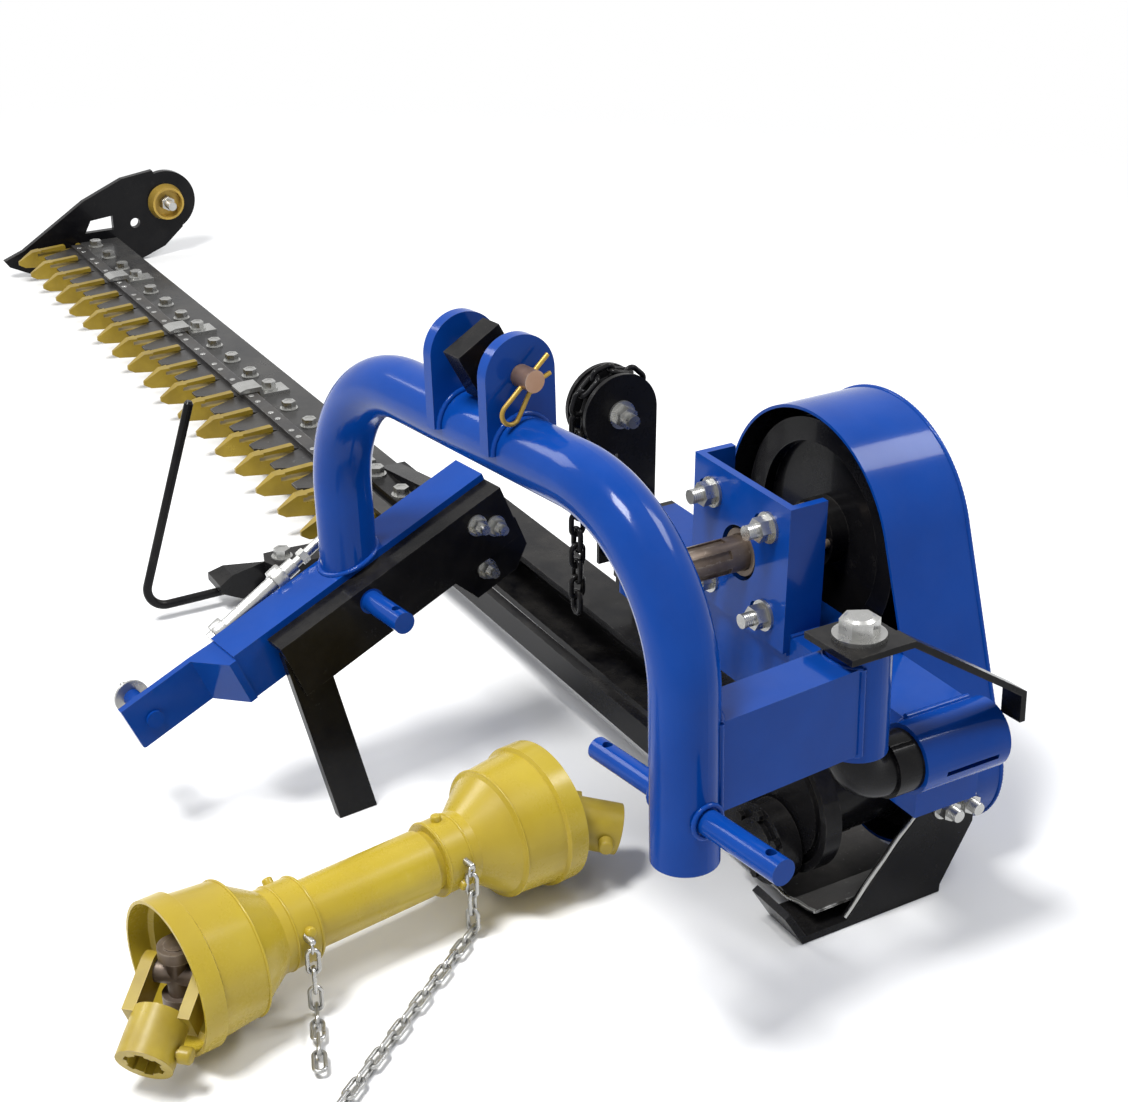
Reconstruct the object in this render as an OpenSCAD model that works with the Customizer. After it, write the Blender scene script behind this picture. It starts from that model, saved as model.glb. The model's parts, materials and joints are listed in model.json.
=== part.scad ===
// Three-point sickle bar mower with belt drive, break-away pivot and a loose drive shaft.
// X runs across the machine (the cutter bar reaches out along -X), Y rearward, Z up from the ground.

/* [Hitch frame] */
// Distance between the centres of the two arch legs
leg_spacing = 540; // [500:10:640]
// Outside diameter of the arch tube
arch_od = 57; // [50:1:64]
// Wall of the arch tube
arch_wall = 5; // [3:0.5:8]
// Height of the arch centreline at the top
arch_top_z = 495; // [470:5:560]
// Bend radius of the arch centreline
arch_bend_r = 140; // [110:5:170]
// Height of the foot of the near leg
near_leg_z = 208; // [190:2:225]
// Height of the lower hitch pins
hitch_pin_z = 256; // [245:1:270]
// Diameter of the lower hitch pins
hitch_pin_d = 22; // [20:0.5:25]
// Reach of the near pin outside its leg
hitch_pin_out = 118; // [95:1:140]
// Reach of the pins inside their legs
hitch_pin_in = 117; // [100:1:130]
// Diameter of the lynch pin holes
lynch_hole_d = 9; // [7:0.5:11]
// Thickness of the top link ears
ear_t = 12; // [8:1:16]
// Width of the top link ears
ear_w = 56; // [46:1:57]
// Inside gap between the top link ears
ear_gap = 72; // [60:1:84]
// Clear height between the arch tube and the axis of the top link pin
top_pin_gap = 34.5; // [32:0.5:60]
// Diameter of the top link pin
top_pin_d = 19; // [16:0.5:22]

/* [Break-away pivot] */
// Distance of the pivot behind the arch
pivot_y = 182; // [170:1:200]
// Outside diameter of the pivot sleeve
sleeve_od = 56; // [50:1:62]
// Height of the pivot sleeve
sleeve_h = 97; // [85:1:105]
// Diameter of the pivot pin
pivot_d = 40; // [32:1:42]
// Width of the pivot arm
arm_w = 46; // [40:1:50]
// Height of the pivot arm
arm_h = 80; // [60:1:84]
// Height of the roll axis of the drive unit
roll_z = 218; // [210:1:226]
// Diameter of the roll spigot
roll_d = 46; // [40:1:50]
// Angle that the drive unit is swung back from square
swing_back = 5; // [0:0.5:8]
// Angle that the hitch frame leans towards the bar
frame_lean = 3; // [0:0.5:4]

/* [Side arm] */
// Width of the side arm tube
side_w = 50; // [44:1:56]
// Height of the side arm tube
side_h = 54; // [48:1:60]
// Pitch of the side arm
side_pitch = 22; // [18:1:26]
// Length of the side arm ahead of the leg
side_front = 145; // [130:1:160]
// Length of the side arm behind the leg
side_rear = 168; // [150:1:180]
// Plate thickness of the latch bracket
latch_t = 8; // [6:1:10]
// Diameter of the latch pin
latch_pin_d = 18; // [14:1:22]
// Diameter of the tie rod
tie_rod_d = 14; // [10:1:18]

/* [Drive unit] */
// Height of the input shaft
input_z = 297; // [292:1:305]
// Outside diameter of the input spline
spline_d = 34.9; // [30:0.1:40]
// Distance from the hitch to the tip of the input spline
spline_y = 152; // [140:1:170]
// Bolt square of the flange bearing
bearing_bolts_sq = 92; // [83:1:100]
// Sideways place of the crank shaft
crank_x = 132; // [125:1:140]
// Height of the crank shaft
crank_z = 100; // [96:1:106]
// Diameter of the crank shaft
crank_d = 35; // [30:1:40]
// Crank radius, half the knife stroke
crank_r = 38.1; // [32:0.1:39]
// Radius of the large pulley
large_pulley_r = 112; // [100:1:118]
// Radius of the small pulley
small_pulley_r = 58; // [50:1:60]
// Width of each pulley
pulley_w = 44; // [40:1:52]
// Front face of the cross beam
beam_y = 255; // [250:1:262]
// Depth of the cross beam
beam_d = 70; // [60:1:76]
// Height of the cross beam
beam_h = 90; // [70:1:96]
// Height of the top of the cross beam
beam_top_z = 240; // [232:1:246]
// Reach of the cross beam towards the bar
beam_reach = 226; // [210:1:236]
// Depth of the belt cover
cover_d = 96; // [88:1:110]
// Sheet thickness of the belt cover
cover_t = 3; // [2:0.5:4]
// Clearance of the belts inside the cover
cover_gap = 14; // [10:1:20]
// Radius of the flywheel
flywheel_r = 68; // [60:1:70]

/* [Lift chain] */
// Radius of the chain line on the sheave
sheave_r = 38; // [36:1:42]
// Height of the sheave
sheave_z = 350; // [330:1:360]
// Wire diameter of the lift chain
chain_d = 6; // [5:0.5:6.5]
// Pitch of the lift chain
chain_pitch = 19; // [18:0.5:22]

/* [Cutter bar] */
// Spacing of the guards
guard_pitch = 76.2; // [70:0.1:80]
// Number of guards
guard_count = 18; // [10:1:20]
// Sideways place of the first guard
first_guard_x = 745; // [740:1:760]
// Distance of the front edge of the bar ahead of the main beam
bar_lead = 18; // [12:1:24]
// Length of the guard finger ahead of the bar
guard_len = 126; // [118:1:134]
// Depth of the bar from front to back
bar_w = 70; // [60:1:80]
// Thickness of the bar
bar_t = 10; // [8:1:12]
// Height of the underside of the bar
bar_z = 40; // [36:1:44]
// Thickness of the knife sections
section_t = 3; // [2:0.5:3.5]
// Height of the bar hinge
hinge_z = 70; // [66:1:76]
// Sideways place of the bar hinge
hinge_x = 640; // [630:1:648]
// Diameter of the bar hinge pin
hinge_d = 20; // [16:1:24]
// Diameter of the divider rod
divider_d = 11; // [8:1:14]

/* [Drive shaft] */
// Rim radius of the guard cones
cone_r = 70; // [66:1:78]
// Radius of the outer guard tube
guard_tube_r = 32; // [30:0.5:36]
// Wall of the guard tubes
guard_wall = 3; // [2:0.5:3]
// Distance from the middle of the shaft to each joint
joint_u = 190; // [184:1:210]
// Half span of the joint crosses
cross_half = 30; // [28:0.5:32]
// Diameter of the joint trunnions
trunnion_d = 20; // [16:0.5:22]
// Heading of the drive shaft on the ground
shaft_heading = 8.6; // [0:0.1:12]

/* [Fits] */
// Gap around pieces that are welded or bolted together
seat = 0.05; // [0.02:0.01:0.1]
// Radial running clearance of shafts in their bores
run = 0.06; // [0.03:0.01:0.1]
// Gap between parts that move past each other
clear = 0.4; // [0.3:0.1:0.8]

/* [Hidden] */
$fn = 64;
eps = 0.01;
far = 400;

paint_blue = [0.06, 0.22, 0.62];
paint_black = [0.06, 0.06, 0.07];
zinc = [0.75, 0.76, 0.78];
gold = [0.72, 0.55, 0.14];
shaft_yellow = [0.80, 0.66, 0.16];
bare_steel = [0.45, 0.38, 0.32];

leg_x = leg_spacing / 2;
pivot_x = leg_x;
arch_r = arch_od / 2;
top_pin_z = arch_top_z + arch_r + top_pin_gap;
pin_r = hitch_pin_d / 2;
sleeve_z = roll_z + arch_r;
sleeve_top_z = sleeve_z + sleeve_h;
arm_z = sleeve_z + (sleeve_h - arm_h) / 2;

beam_front = 240;
beam_low = 40;
bar_y = beam_front - bar_lead;
guard_tip_y = bar_y - guard_len;
bar_back_y = bar_y + bar_w;
bar_top_z = bar_z + bar_t;
last_guard_x = first_guard_x + (guard_count - 1) * guard_pitch;
outer_shoe_x = last_guard_x + guard_pitch / 2;
knife_z = bar_top_z + 1.5;

// The model's origin is the middle of its footprint on the ground.
pin_tip_x = leg_x + hitch_pin_out + (pivot_y - 10) * sin(swing_back);
shoe_t = 12;
mid_x = (pin_tip_x - outer_shoe_x - shoe_t) / 2;
mid_y = 14;

module on_unit() translate([-mid_x, -mid_y, 0]) children();
module on_knuckle() on_unit() translate([pivot_x, 0, roll_axis_z]) rotate([0, -frame_lean, 0])
  translate([-pivot_x, 0, -roll_axis_z]) children();
module on_hitch() on_knuckle() translate([pivot_x, pivot_y, 0]) rotate([0, 0, swing_back])
  translate([-pivot_x, -pivot_y, 0]) children();
module on_arm() on_hitch() translate([-leg_x, 0, hitch_pin_z]) rotate([side_pitch, 0, 0]) children();
module on_shaft() on_unit() translate([21, -163, cone_r]) rotate([0, 0, shaft_heading]) children();

// Cylinders along X and Y that start at the origin.
module rod_x(r, h) rotate([0, 90, 0]) cylinder(r = r, h = h);
module rod_y(r, h) rotate([-90, 0, 0]) cylinder(r = r, h = h);
module ring_y(ro, ri, h) difference() {
  rod_y(ro, h);
  translate([0, -1, 0]) rod_y(ri, h + 2);
}
module hex_z(af, h) cylinder(d = af / cos(30), h = h, $fn = 6);

// Bolt along +Z: washer, nut and thread end stand above the seat, the head lies below the grip.
module bolt_z(d, grip, tail) {
  translate([0, 0, -grip]) cylinder(d = d, h = grip + tail);
  difference() {
    union() {
      cylinder(d = d * 2.2, h = d * 0.2);
      translate([0, 0, d * 0.2]) hex_z(d * 1.5, d * 0.85);
    }
    translate([0, 0, -1]) cylinder(d = d, h = d * 3);
  }
  translate([0, 0, -grip - d * 0.65]) hex_z(d * 1.5, d * 0.65);
}

// Oval chain link in the XZ plane, long axis along Z.
module link(d, pitch, width) {
  bend = (width - d) / 2;
  half = (pitch + 0.5 + d) / 2 - bend;
  for (s = [-1, 1]) {
    translate([s * bend, 0, -half]) cylinder(d = d, h = 2 * half, $fn = 24);
    translate([0, 0, s * half]) rotate([s * 90, 0, 0]) rotate_extrude(angle = 180, $fn = 32)
      translate([bend, 0]) circle(d = d, $fn = 24);
  }
}

// Straight run of links down from a point, alternate links turned a quarter.
module links_down(n, d, pitch, width, turn) for (i = [0 : n - 1])
  translate([0, 0, -(i + 0.5) * pitch]) rotate([0, 0, turn + 90 * (i % 2)]) link(d, pitch, width);

// Outline around two circles and their outer tangents.
module two_round(p1, r1, p2, r2, h) {
  d = norm(p2 - p1);
  base = atan2(p2[1] - p1[1], p2[0] - p1[0]);
  lead = acos((r1 - r2) / d);
  union() {
    along_y(h) translate(p1) circle(r1);
    along_y(h) translate(p2) circle(r2);
    along_y(h) polygon([for (q = [[p1, r1, lead], [p2, r2, lead], [p2, r2, -lead], [p1, r1, -lead]])
      q[0] + (q[1] - 0.05) * [cos(base + q[2]), sin(base + q[2])]]);
  }
}
// Extrude an XZ outline along +Y.
module along_y(h) rotate([90, 0, 0]) mirror([0, 0, 1]) linear_extrude(h) children();

module arch_solid(r, foot_z, far_z) {
  rise = arch_top_z - arch_bend_r;
  translate([leg_x, 0, foot_z]) cylinder(r = r, h = rise - foot_z);
  translate([-leg_x, 0, far_z]) cylinder(r = r, h = rise - far_z);
  translate([arch_bend_r - leg_x, 0, arch_top_z]) rod_x(r, 2 * (leg_x - arch_bend_r));
  for (s = [0, 1]) mirror([s, 0, 0]) translate([leg_x - arch_bend_r, 0, rise]) rotate([90, 0, 0])
    rotate_extrude(angle = 90) translate([arch_bend_r, 0]) circle(r);
}
module side_block() translate([-side_w / 2, -side_front, -side_h / 2])
  cube([side_w, side_front + side_rear, side_h]);

module arch_tube() color(paint_blue) difference() {
  on_hitch() difference() {
    arch_solid(arch_r, near_leg_z, hitch_pin_z);
    arch_solid(arch_r - arch_wall, near_leg_z + arch_wall, hitch_pin_z - 1);
    translate([leg_x - far / 2, 0, hitch_pin_z]) rod_x(root_r + seat, far);
  }
  on_arm() translate([-arch_r - 1, -side_front, side_h / 2 - far])
    cube([2 * arch_r + 2, side_front + side_rear, far]);
}

module ear_profile() difference() {
  union() {
    translate([0, top_pin_z]) circle(ear_w / 2 + 6);
    translate([-ear_w / 2 - 6, arch_top_z]) square([ear_w + 12, top_pin_z - arch_top_z]);
  }
  translate([0, top_pin_z]) circle(top_pin_d / 2 + seat);
}
module top_link_ears() color(paint_blue) on_hitch() difference() {
  for (x = [-ear_gap / 2 - ear_t, ear_gap / 2]) translate([x + 8, 0, 0]) rotate([90, 0, 90])
    linear_extrude(ear_t) ear_profile();
  translate([-far / 2, 0, arch_top_z]) rod_x(arch_r, far);
}

module pivot_arm() color(paint_blue) on_hitch() difference() {
  union() {
    difference() {
      translate([pivot_x - arm_w / 2, 0, arm_z]) cube([arm_w, pivot_y, arm_h]);
      translate([pivot_x - arm_w / 2 + 5, -1, arm_z + 5]) cube([arm_w - 10, pivot_y, arm_h - 10]);
    }
    translate([pivot_x, pivot_y, sleeve_z]) cylinder(d = sleeve_od, h = sleeve_h);
  }
  translate([pivot_x, pivot_y, sleeve_z - 1]) cylinder(d = pivot_d + 2 * run, h = sleeve_h + 2);
  translate([leg_x, 0, near_leg_z]) cylinder(r = arch_r, h = far);
  translate([leg_x - far / 2, 0, hitch_pin_z]) rod_x(root_r + seat, far);
}

// The pins have a thicker root where they pass through the frame.
root_r = pin_r + 2;
far_pin_y = -6;
pin_tip = hitch_pin_d * 0.65;
module lynch_hole(x, y) translate([x, y, hitch_pin_z - hitch_pin_d])
  cylinder(d = lynch_hole_d, h = 2 * hitch_pin_d);
module near_pin() difference() {
  union() {
    translate([leg_x - hitch_pin_in, 0, hitch_pin_z]) rod_x(pin_r - 1, hitch_pin_in);
    translate([leg_x - arch_r, 0, hitch_pin_z]) rod_x(root_r, arch_od);
    translate([leg_x, 0, hitch_pin_z]) rod_x(pin_r, hitch_pin_out);
  }
  lynch_hole(leg_x - hitch_pin_in + pin_tip, 0);
  lynch_hole(leg_x + hitch_pin_out - pin_tip, 0);
}
module far_pin() difference() {
  union() {
    translate([-leg_x - side_w / 2, far_pin_y, hitch_pin_z])
      rod_x(root_r, side_w / 2 + angle_x + angle_t);
    translate([-leg_x, far_pin_y, hitch_pin_z]) rod_x(pin_r, hitch_pin_in);
  }
  lynch_hole(-leg_x + hitch_pin_in - pin_tip, far_pin_y);
}
module lower_hitch_pins() color(paint_blue) on_hitch() {
  near_pin();
  far_pin();
}

clip_x = 8 + ear_gap / 2 + ear_t + 11;
clip_d = 4;
module top_link_pin() color(bare_steel) on_hitch() difference() {
  union() {
    translate([8 - ear_gap / 2 - ear_t - 4, 0, top_pin_z])
        rod_x(top_pin_d / 2, clip_x + 10 - 8 + ear_gap / 2 + ear_t + 4);
    translate([8 - ear_gap / 2 - ear_t - 10, 0, top_pin_z]) rod_x(top_pin_d / 2 + 5, 9.9);
  }
  translate([clip_x, 0, top_pin_z]) rotate([40, 0, 0]) rod_y(clip_d / 2 + seat, 40);
  translate([clip_x, 0, top_pin_z]) rotate([220, 0, 0]) rod_y(clip_d / 2 + seat, 40);
}

block_t = 24;
block_w = top_pin_gap * 4 / 3;
module pin_block() color(paint_black) on_hitch() translate([-12, 0, top_pin_z]) rotate([28, 0, 0])
    difference() {
  translate([0, -block_w / 2, -block_w / 2]) cube([block_t, block_w, block_w]);
  translate([-1, 0, 0]) rod_x(top_pin_d / 2 + seat, block_t + 2);
}

// Spring clip: one straight leg through the pin, one leg bowed round it.
module hairpin_clip() color(gold) on_hitch() translate([clip_x, 0, top_pin_z]) rotate([40, 0, 0]) {
  r = clip_d / 2;
  bow = top_pin_d / 2 + r + clear;
  loop = 9;
  run_out = 30;
  start = bow * [cos(235), sin(235)];
  back = start + [run_out, 2 * loop];
  translate([0, -run_out, 0]) rod_y(r, 2 * run_out - 4);
  translate([0, -run_out, -loop]) rotate([0, 0, 180]) rotate([0, 90, 0]) rotate_extrude(angle = 180)
    translate([loop, 0]) circle(r);
  translate([0, -run_out, -2 * loop]) rotate([atan2(back[1], back[0]), 0, 0]) rod_y(r, norm(back));
  rotate([90, 0, 90]) rotate([0, 0, 235]) rotate_extrude(angle = 70) translate([bow, 0]) circle(r);
  translate([0, -start[0], start[1]]) rotate([-20, 0, 0]) translate([0, -r / 2, 0]) rod_y(r, 12);
}

module side_arm() color(paint_blue) on_arm() difference() {
  side_block();
  translate([-side_w / 2 + 4, -side_front - 1, -side_h / 2 + 4])
    cube([side_w - 8, side_front + side_rear + 2, side_h - 8]);
  rotate([-side_pitch, 0, 0]) translate([-far / 2, far_pin_y, 0]) rod_x(root_r + seat, far);
}

latch_h = 50;
latch_kick = 28;
latch_reach = 84;
// Flat bar bent across the end of the side arm and then forward.
module latch_bracket() color(paint_blue) on_arm() difference() {
  translate([0, -side_front, -latch_h / 2 - 2]) linear_extrude(latch_h) polygon([
    [side_w / 2 + 2, 0], [-side_w / 2, 0], [-side_w / 2 - 2, -latch_kick],
        [-side_w / 2 - 2, -latch_kick - latch_reach],
    [-side_w / 2 - 2 + latch_t, -latch_kick - latch_reach],
        [-side_w / 2 - 2 + latch_t, -latch_kick - 2],
    [side_w / 2 + 2, -latch_t]]);
  translate([-far / 2, latch_y(), latch_drop]) rod_x(latch_pin_d / 2 + seat, far);
  translate([-side_w, latch_y() - 25, -latch_h]) rotate([-38, 0, 0]) translate([0, -60, -20])
      cube([far, 60, 40]);
}
latch_drop = -6;
function latch_y() = -side_front - latch_kick - latch_reach + 24;
latch_out = 62;
module latch_pin() color(paint_blue) on_arm()
    translate([-side_w / 2 - 2 + latch_t + 3, latch_y(), latch_drop]) difference() {
  translate([-latch_t - 3 - latch_out, 0, 0]) rod_x(latch_pin_d / 2, latch_t + 3 + latch_out);
  translate([-latch_t - 3 - latch_out + 7, 0, -20]) cylinder(d = 4, h = 40);
}
module latch_washers() color(zinc) on_arm() translate([-side_w / 2 - 2, latch_y(), latch_drop]) {
  for (x = [-3.2, -latch_out + 12]) translate([x, 0, 0]) difference() {
    rod_x(latch_pin_d / 2 + 9, 3);
    translate([-1, 0, 0]) rod_x(latch_pin_d / 2 + seat, 5);
  }
  translate([-latch_out + 7, 0, -14]) cylinder(d = 4 - 2 * seat, h = 28);
  translate([-latch_out + 7, 0, 14]) sphere(3.2);
}

angle_x = side_w / 2 + 23;
angle_t = 6;
angle_front = 108;
gusset_s = [72, 172];
module stand_angle() color(paint_black) on_arm() difference() {
  union() {
    translate([side_w / 2, -angle_front, 14]) cube([23 + angle_t, angle_front + side_rear, angle_t]);
    translate([angle_x, -angle_front, -42]) cube([angle_t, angle_front + side_rear, 62]);
    translate([angle_x - angle_t, 0, 0]) rotate([90, 0, 90]) linear_extrude(angle_t) polygon([
      [gusset_s[0], -24], [gusset_s[1], -24], [gusset_s[1], -60], [gusset_s[1] - 22, -78],
          [gusset_s[0] + 26, -78]]);
  }
  rotate([-side_pitch, 0, 0]) translate([-far / 2, far_pin_y, 0]) rod_x(root_r + seat, far);
  for (q = angle_bolts) translate([0, q[0], q[1]]) rod_x(angle_bolt_d / 2 + seat, far);
}
angle_bolts = [[128, 0], [146, -14], [120, -54]];
angle_bolt_d = 10;
module hitch_bolts() color(zinc) on_arm() for (q = angle_bolts) {
  low = q[1] < -40;
  translate([angle_x + (low ? 0 : angle_t), q[0],
      q[1]]) rotate([0, 90, 0]) bolt_z(angle_bolt_d, angle_t, 18);
}

leg_bar = [10, 42];
module parking_leg() color(paint_black) intersection() {
  on_arm() translate([angle_x - leg_bar[0], -angle_front, 8]) rotate([-9, 0, 0])
    translate([0, 0, -far]) cube([leg_bar[0], leg_bar[1], far]);
  on_unit() translate([-far * 2, -far, 0]) cube([far * 2, far * 2, far]);
}

// Zinc rod along the outer side of the arm, its front end bent down to the bracket.
tie_rise = 8;
tie_tube = 112;
tie_reach = 76;
module tie_rod() color(zinc) on_arm() {
  r = tie_rod_d / 2 + 1.5;
  thin = tie_rod_d / 2 - 2;
  translate([-arch_r - r - 1, -side_front + 2, 16]) rotate([tie_rise, 0, 0]) {
    rod_y(r, tie_tube);
    translate([0, tie_tube - 1, 0]) rod_y(thin, tie_reach);
    translate([0, tie_tube + 8, 0]) rotate([-90, 0, 0]) hex_z(2.7 * thin, thin * 1.6);
    translate([0, tie_tube + tie_reach - 8, 0]) rod_y(r, 8);
  }
}

elbow_r = arch_r;
elbow_tube = sleeve_od / 2 - 3;
collar_y = pivot_y + elbow_r + 26;
roll_len = 92;
module knuckle_elbow() color(paint_black) on_knuckle() {
  translate([pivot_x, pivot_y, sleeve_z - clear]) cylinder(d = pivot_d, h = sleeve_h + 2 * clear);
  translate([pivot_x, pivot_y + elbow_r, sleeve_z - clear]) rotate([-90, 0, 0]) rotate([0, 90, 0])
    rotate_extrude(angle = 90) translate([elbow_r, 0]) circle(elbow_tube);
  translate([pivot_x, pivot_y + elbow_r, sleeve_z - clear - elbow_r]) rod_y(elbow_tube + 3, 26);
  translate([pivot_x, collar_y, sleeve_z - clear - elbow_r]) rod_y(roll_d / 2, roll_len + 3);
}

plate_w = 64;
strap_t = 6;
strap_w = 24;
module pivot_plate() color(paint_black) on_knuckle() difference() {
  union() {
    translate([pivot_x - plate_w / 2, pivot_y - plate_w / 2, sleeve_top_z + clear])
        cube([plate_w, plate_w, strap_t]);
    translate([pivot_x + plate_w / 2 - strap_w, 0, 0]) rotate([90, 0, 90]) linear_extrude(strap_w)
        polygon([
      [pivot_y + 10, sleeve_top_z + clear], [pivot_y + plate_w / 2, sleeve_top_z + clear],
      [collar_y + roll_len + 8, roll_z + 46], [collar_y + roll_len + 8, roll_z + 20],
      [collar_y + roll_len + 8 + strap_t, roll_z + 20],
          [collar_y + roll_len + 8 + strap_t, roll_z + 49],
      [pivot_y + plate_w / 2 + 2, sleeve_top_z + clear + strap_t],
          [pivot_y + 10, sleeve_top_z + clear + strap_t]]);
  }
  translate([pivot_x, pivot_y, 0]) cylinder(d = pivot_bolt_d + 2 * seat, h = far * 2);
}
pivot_bolt_d = 20;
module pivot_bolt() color(zinc) on_knuckle() translate([pivot_x, pivot_y, sleeve_top_z + clear]) {
  cylinder(d = pivot_bolt_d, h = strap_t);
  translate([0, 0, strap_t]) cylinder(d = 46, h = 4);
  translate([0, 0, strap_t + 4]) hex_z(30, 13);
  translate([0, 0, strap_t + 17]) cylinder(d1 = 28, d2 = 22, h = 2);
}

roll_od = roll_d + 18;
roll_axis_z = roll_z - clear;
module cross_beam() color(paint_blue) on_unit() difference() {
  union() {
    difference() {
      translate([-beam_reach, beam_y, beam_top_z - beam_h])
          cube([beam_reach + pivot_x, beam_d, beam_h]);
      translate([-beam_reach - 1, beam_y + 5, beam_top_z - beam_h + 5])
        cube([beam_reach + pivot_x - roll_od, beam_d - 10, beam_h - 10]);
      translate([pivot_x, beam_y - 1, beam_top_z - beam_h - 1]) cube([far, far, far]);
    }
    translate([pivot_x, collar_y + clear, roll_axis_z]) rod_y(roll_od / 2, roll_len);
  }
  translate([pivot_x, collar_y - 1, roll_axis_z]) rod_y(roll_d / 2 + run, roll_len + 3);
  translate([pivot_x, collar_y + 22, roll_axis_z - 8]) cube([far, roll_len - 34, 5]);
}

plate_half = bearing_bolts_sq / 2 + 32;
bracket_t = 8;
flange_y = beam_y + 34;
bolt_d = 14;
module bearing_bracket() color(paint_blue) on_unit() difference() {
  union() {
    translate([-plate_half, beam_y - bracket_t, beam_top_z - 16])
      cube([2 * plate_half, bracket_t, input_z + plate_half - 2 - beam_top_z + 16]);
    for (s = [-1, 1]) translate([s * plate_half - (s > 0 ? bracket_t : 0), beam_y - eps, beam_top_z])
      cube([bracket_t, flange_y - beam_y, input_z + plate_half - 2 - beam_top_z]);
  }
  translate([0, beam_y - far / 2, input_z]) rod_y(spline_d / 2 + 10, far);
  for (sx = [-1, 1], sz = [-1, 1])
      translate([sx * bearing_bolts_sq / 2, beam_y - far / 2, input_z + sz * bearing_bolts_sq / 2]) {
    rod_y(bolt_d / 2 + seat, far);
    translate([-16, 0, -bolt_d / 2]) cube([16, far, bolt_d]);
    translate([-16, 0, 0]) rod_y(bolt_d / 2, far);
  }
}

housing_t = 15;
housing_half = bearing_bolts_sq / 2 + 12.5;
module bearing_housing() color(paint_black) on_unit() translate([0, beam_y, input_z]) difference() {
  union() {
    along_y(housing_t) intersection() {
      square(2 * housing_half, center = true);
      rotate(45) square(2.42 * housing_half, center = true);
    }
    translate([0, housing_t - eps, 0]) rod_y(44, 22);
  }
  translate([0, -1, 0]) rod_y(shaft_r + run, far);
  for (sx = [-1, 1], sz = [-1, 1]) translate([sx * bearing_bolts_sq / 2, -1, sz * bearing_bolts_sq / 2])
    rod_y(bolt_d / 2 + seat, far);
  translate([-far / 2, -1, beam_top_z - input_z - far]) cube([far, far, far]);
}

cover_y = beam_y + beam_d;
input_c = [0, input_z];
crank_c = [crank_x, crank_z];
module cover_solid(grow, h) two_round(input_c, large_pulley_r + cover_gap + cover_t + grow,
  crank_c, small_pulley_r + cover_gap - 3 + cover_t + grow, h);
module belt_cover() color(paint_blue) on_unit() difference() {
  translate([0, cover_y, 0]) cover_solid(0, cover_d);
  translate([0, cover_y - 1, 0]) cover_solid(-cover_t, cover_d - cover_t + 1);
  for (y = skid_bolt_y) translate([crank_x, cover_y + y, crank_z]) rod_x(skid_bolt_d / 2 + seat, far);
}

crank_front_y = beam_y - 12;
housing_r = 44;
module main_beam() color(paint_black) on_unit() difference() {
  union() {
    difference() {
      translate([-hinge_x + 46, beam_front, beam_low]) cube([hinge_x - 46 + crank_x, 60, 75]);
      translate([-hinge_x + 46 + 30, beam_front - 1, beam_low + 8])
          cube([hinge_x + crank_x - 46, 53, 59]);
    }
    for (y = [beam_front + 4, beam_front + 44]) translate([0, y, 0]) along_y(12) {
      translate([-hinge_x, hinge_z]) circle(26);
      translate([-hinge_x, hinge_z - 26]) square([60, 52]);
    }
    translate([-hinge_x + 46, beam_front + 16 - eps, hinge_z - 20]) cube([14, 28 + 2 * eps, 40]);
  }
  translate([-hinge_x, 0, hinge_z]) rod_y(hinge_d / 2 + seat, far * 2);
  translate([crank_x, 0, crank_z]) rod_y(housing_r, far * 2);
  translate([crank_x, -1, 0]) cube([far, far * 2, far]);
}

module crank_housing() color(paint_black) on_unit() difference() {
  union() {
    translate([crank_x, crank_front_y, crank_z]) rod_y(housing_r, cover_y - 2 - crank_front_y);
    translate([crank_x - 40, beam_y + 10, crank_z])
        cube([80, beam_d - 24, beam_top_z - beam_h - crank_z]);
  }
  translate([crank_x, 0, crank_z]) rod_y(crank_d / 2 + run, far * 2);
}

sheave_x = beam_reach + 36;
sheave_y = beam_y + beam_d / 2 - 26;
sheave_half = 15;
cheek_t = 5;
bolt_sheave_d = 14;
module sheave_bracket() color(paint_black) on_unit() difference() {
  union() {
    for (s = [-1, 1]) translate([-sheave_x + s * (sheave_half + clear) - (s < 0 ? cheek_t : 0), 0, 0])
      rotate([90, 0, 90]) linear_extrude(cheek_t) difference() {
        union() {
          translate([sheave_y, sheave_z]) circle(sheave_r + 6);
          translate([sheave_y - 4, beam_top_z - beam_h + 10])
              square([sheave_r + 10, sheave_z - beam_top_z + beam_h - 10]);
        }
        translate([sheave_y, sheave_z]) circle(bolt_sheave_d / 2 + seat);
      }
    translate([-beam_reach - end_t, beam_y, beam_top_z - beam_h]) cube([end_t, beam_d, beam_h]);
    translate([-sheave_x + sheave_half + clear + cheek_t - eps, sheave_y + 2, beam_top_z - beam_h + 10])
      cube([sheave_x - beam_reach - end_t - sheave_half - clear - cheek_t + 2 * eps,
        sheave_r, beam_h - 20]);
    translate([-sheave_x - sheave_half - clear - eps, sheave_y + 12, beam_top_z - beam_h + 10])
      cube([2 * (sheave_half + clear) + 2 * eps, 10, 60]);
  }
}
end_t = 8;
module chain_sheave() color(paint_black) on_unit() translate([-sheave_x, sheave_y, sheave_z])
    rotate([0, 90, 0]) difference() {
  rotate_extrude() polygon([[bolt_sheave_d / 2 + run, -sheave_half], [sheave_r + 3, -sheave_half],
    [sheave_r + 3, -sheave_half + 2.5], [sheave_r - link_w / 2 - 1, -link_w / 2 + 1],
        [sheave_r - link_w / 2 - 1, link_w / 2 - 1],
    [sheave_r + 3, sheave_half - 2.5], [sheave_r + 3, sheave_half],
        [bolt_sheave_d / 2 + run, sheave_half]]);
}
link_w = 3.4 * chain_d;
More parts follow.
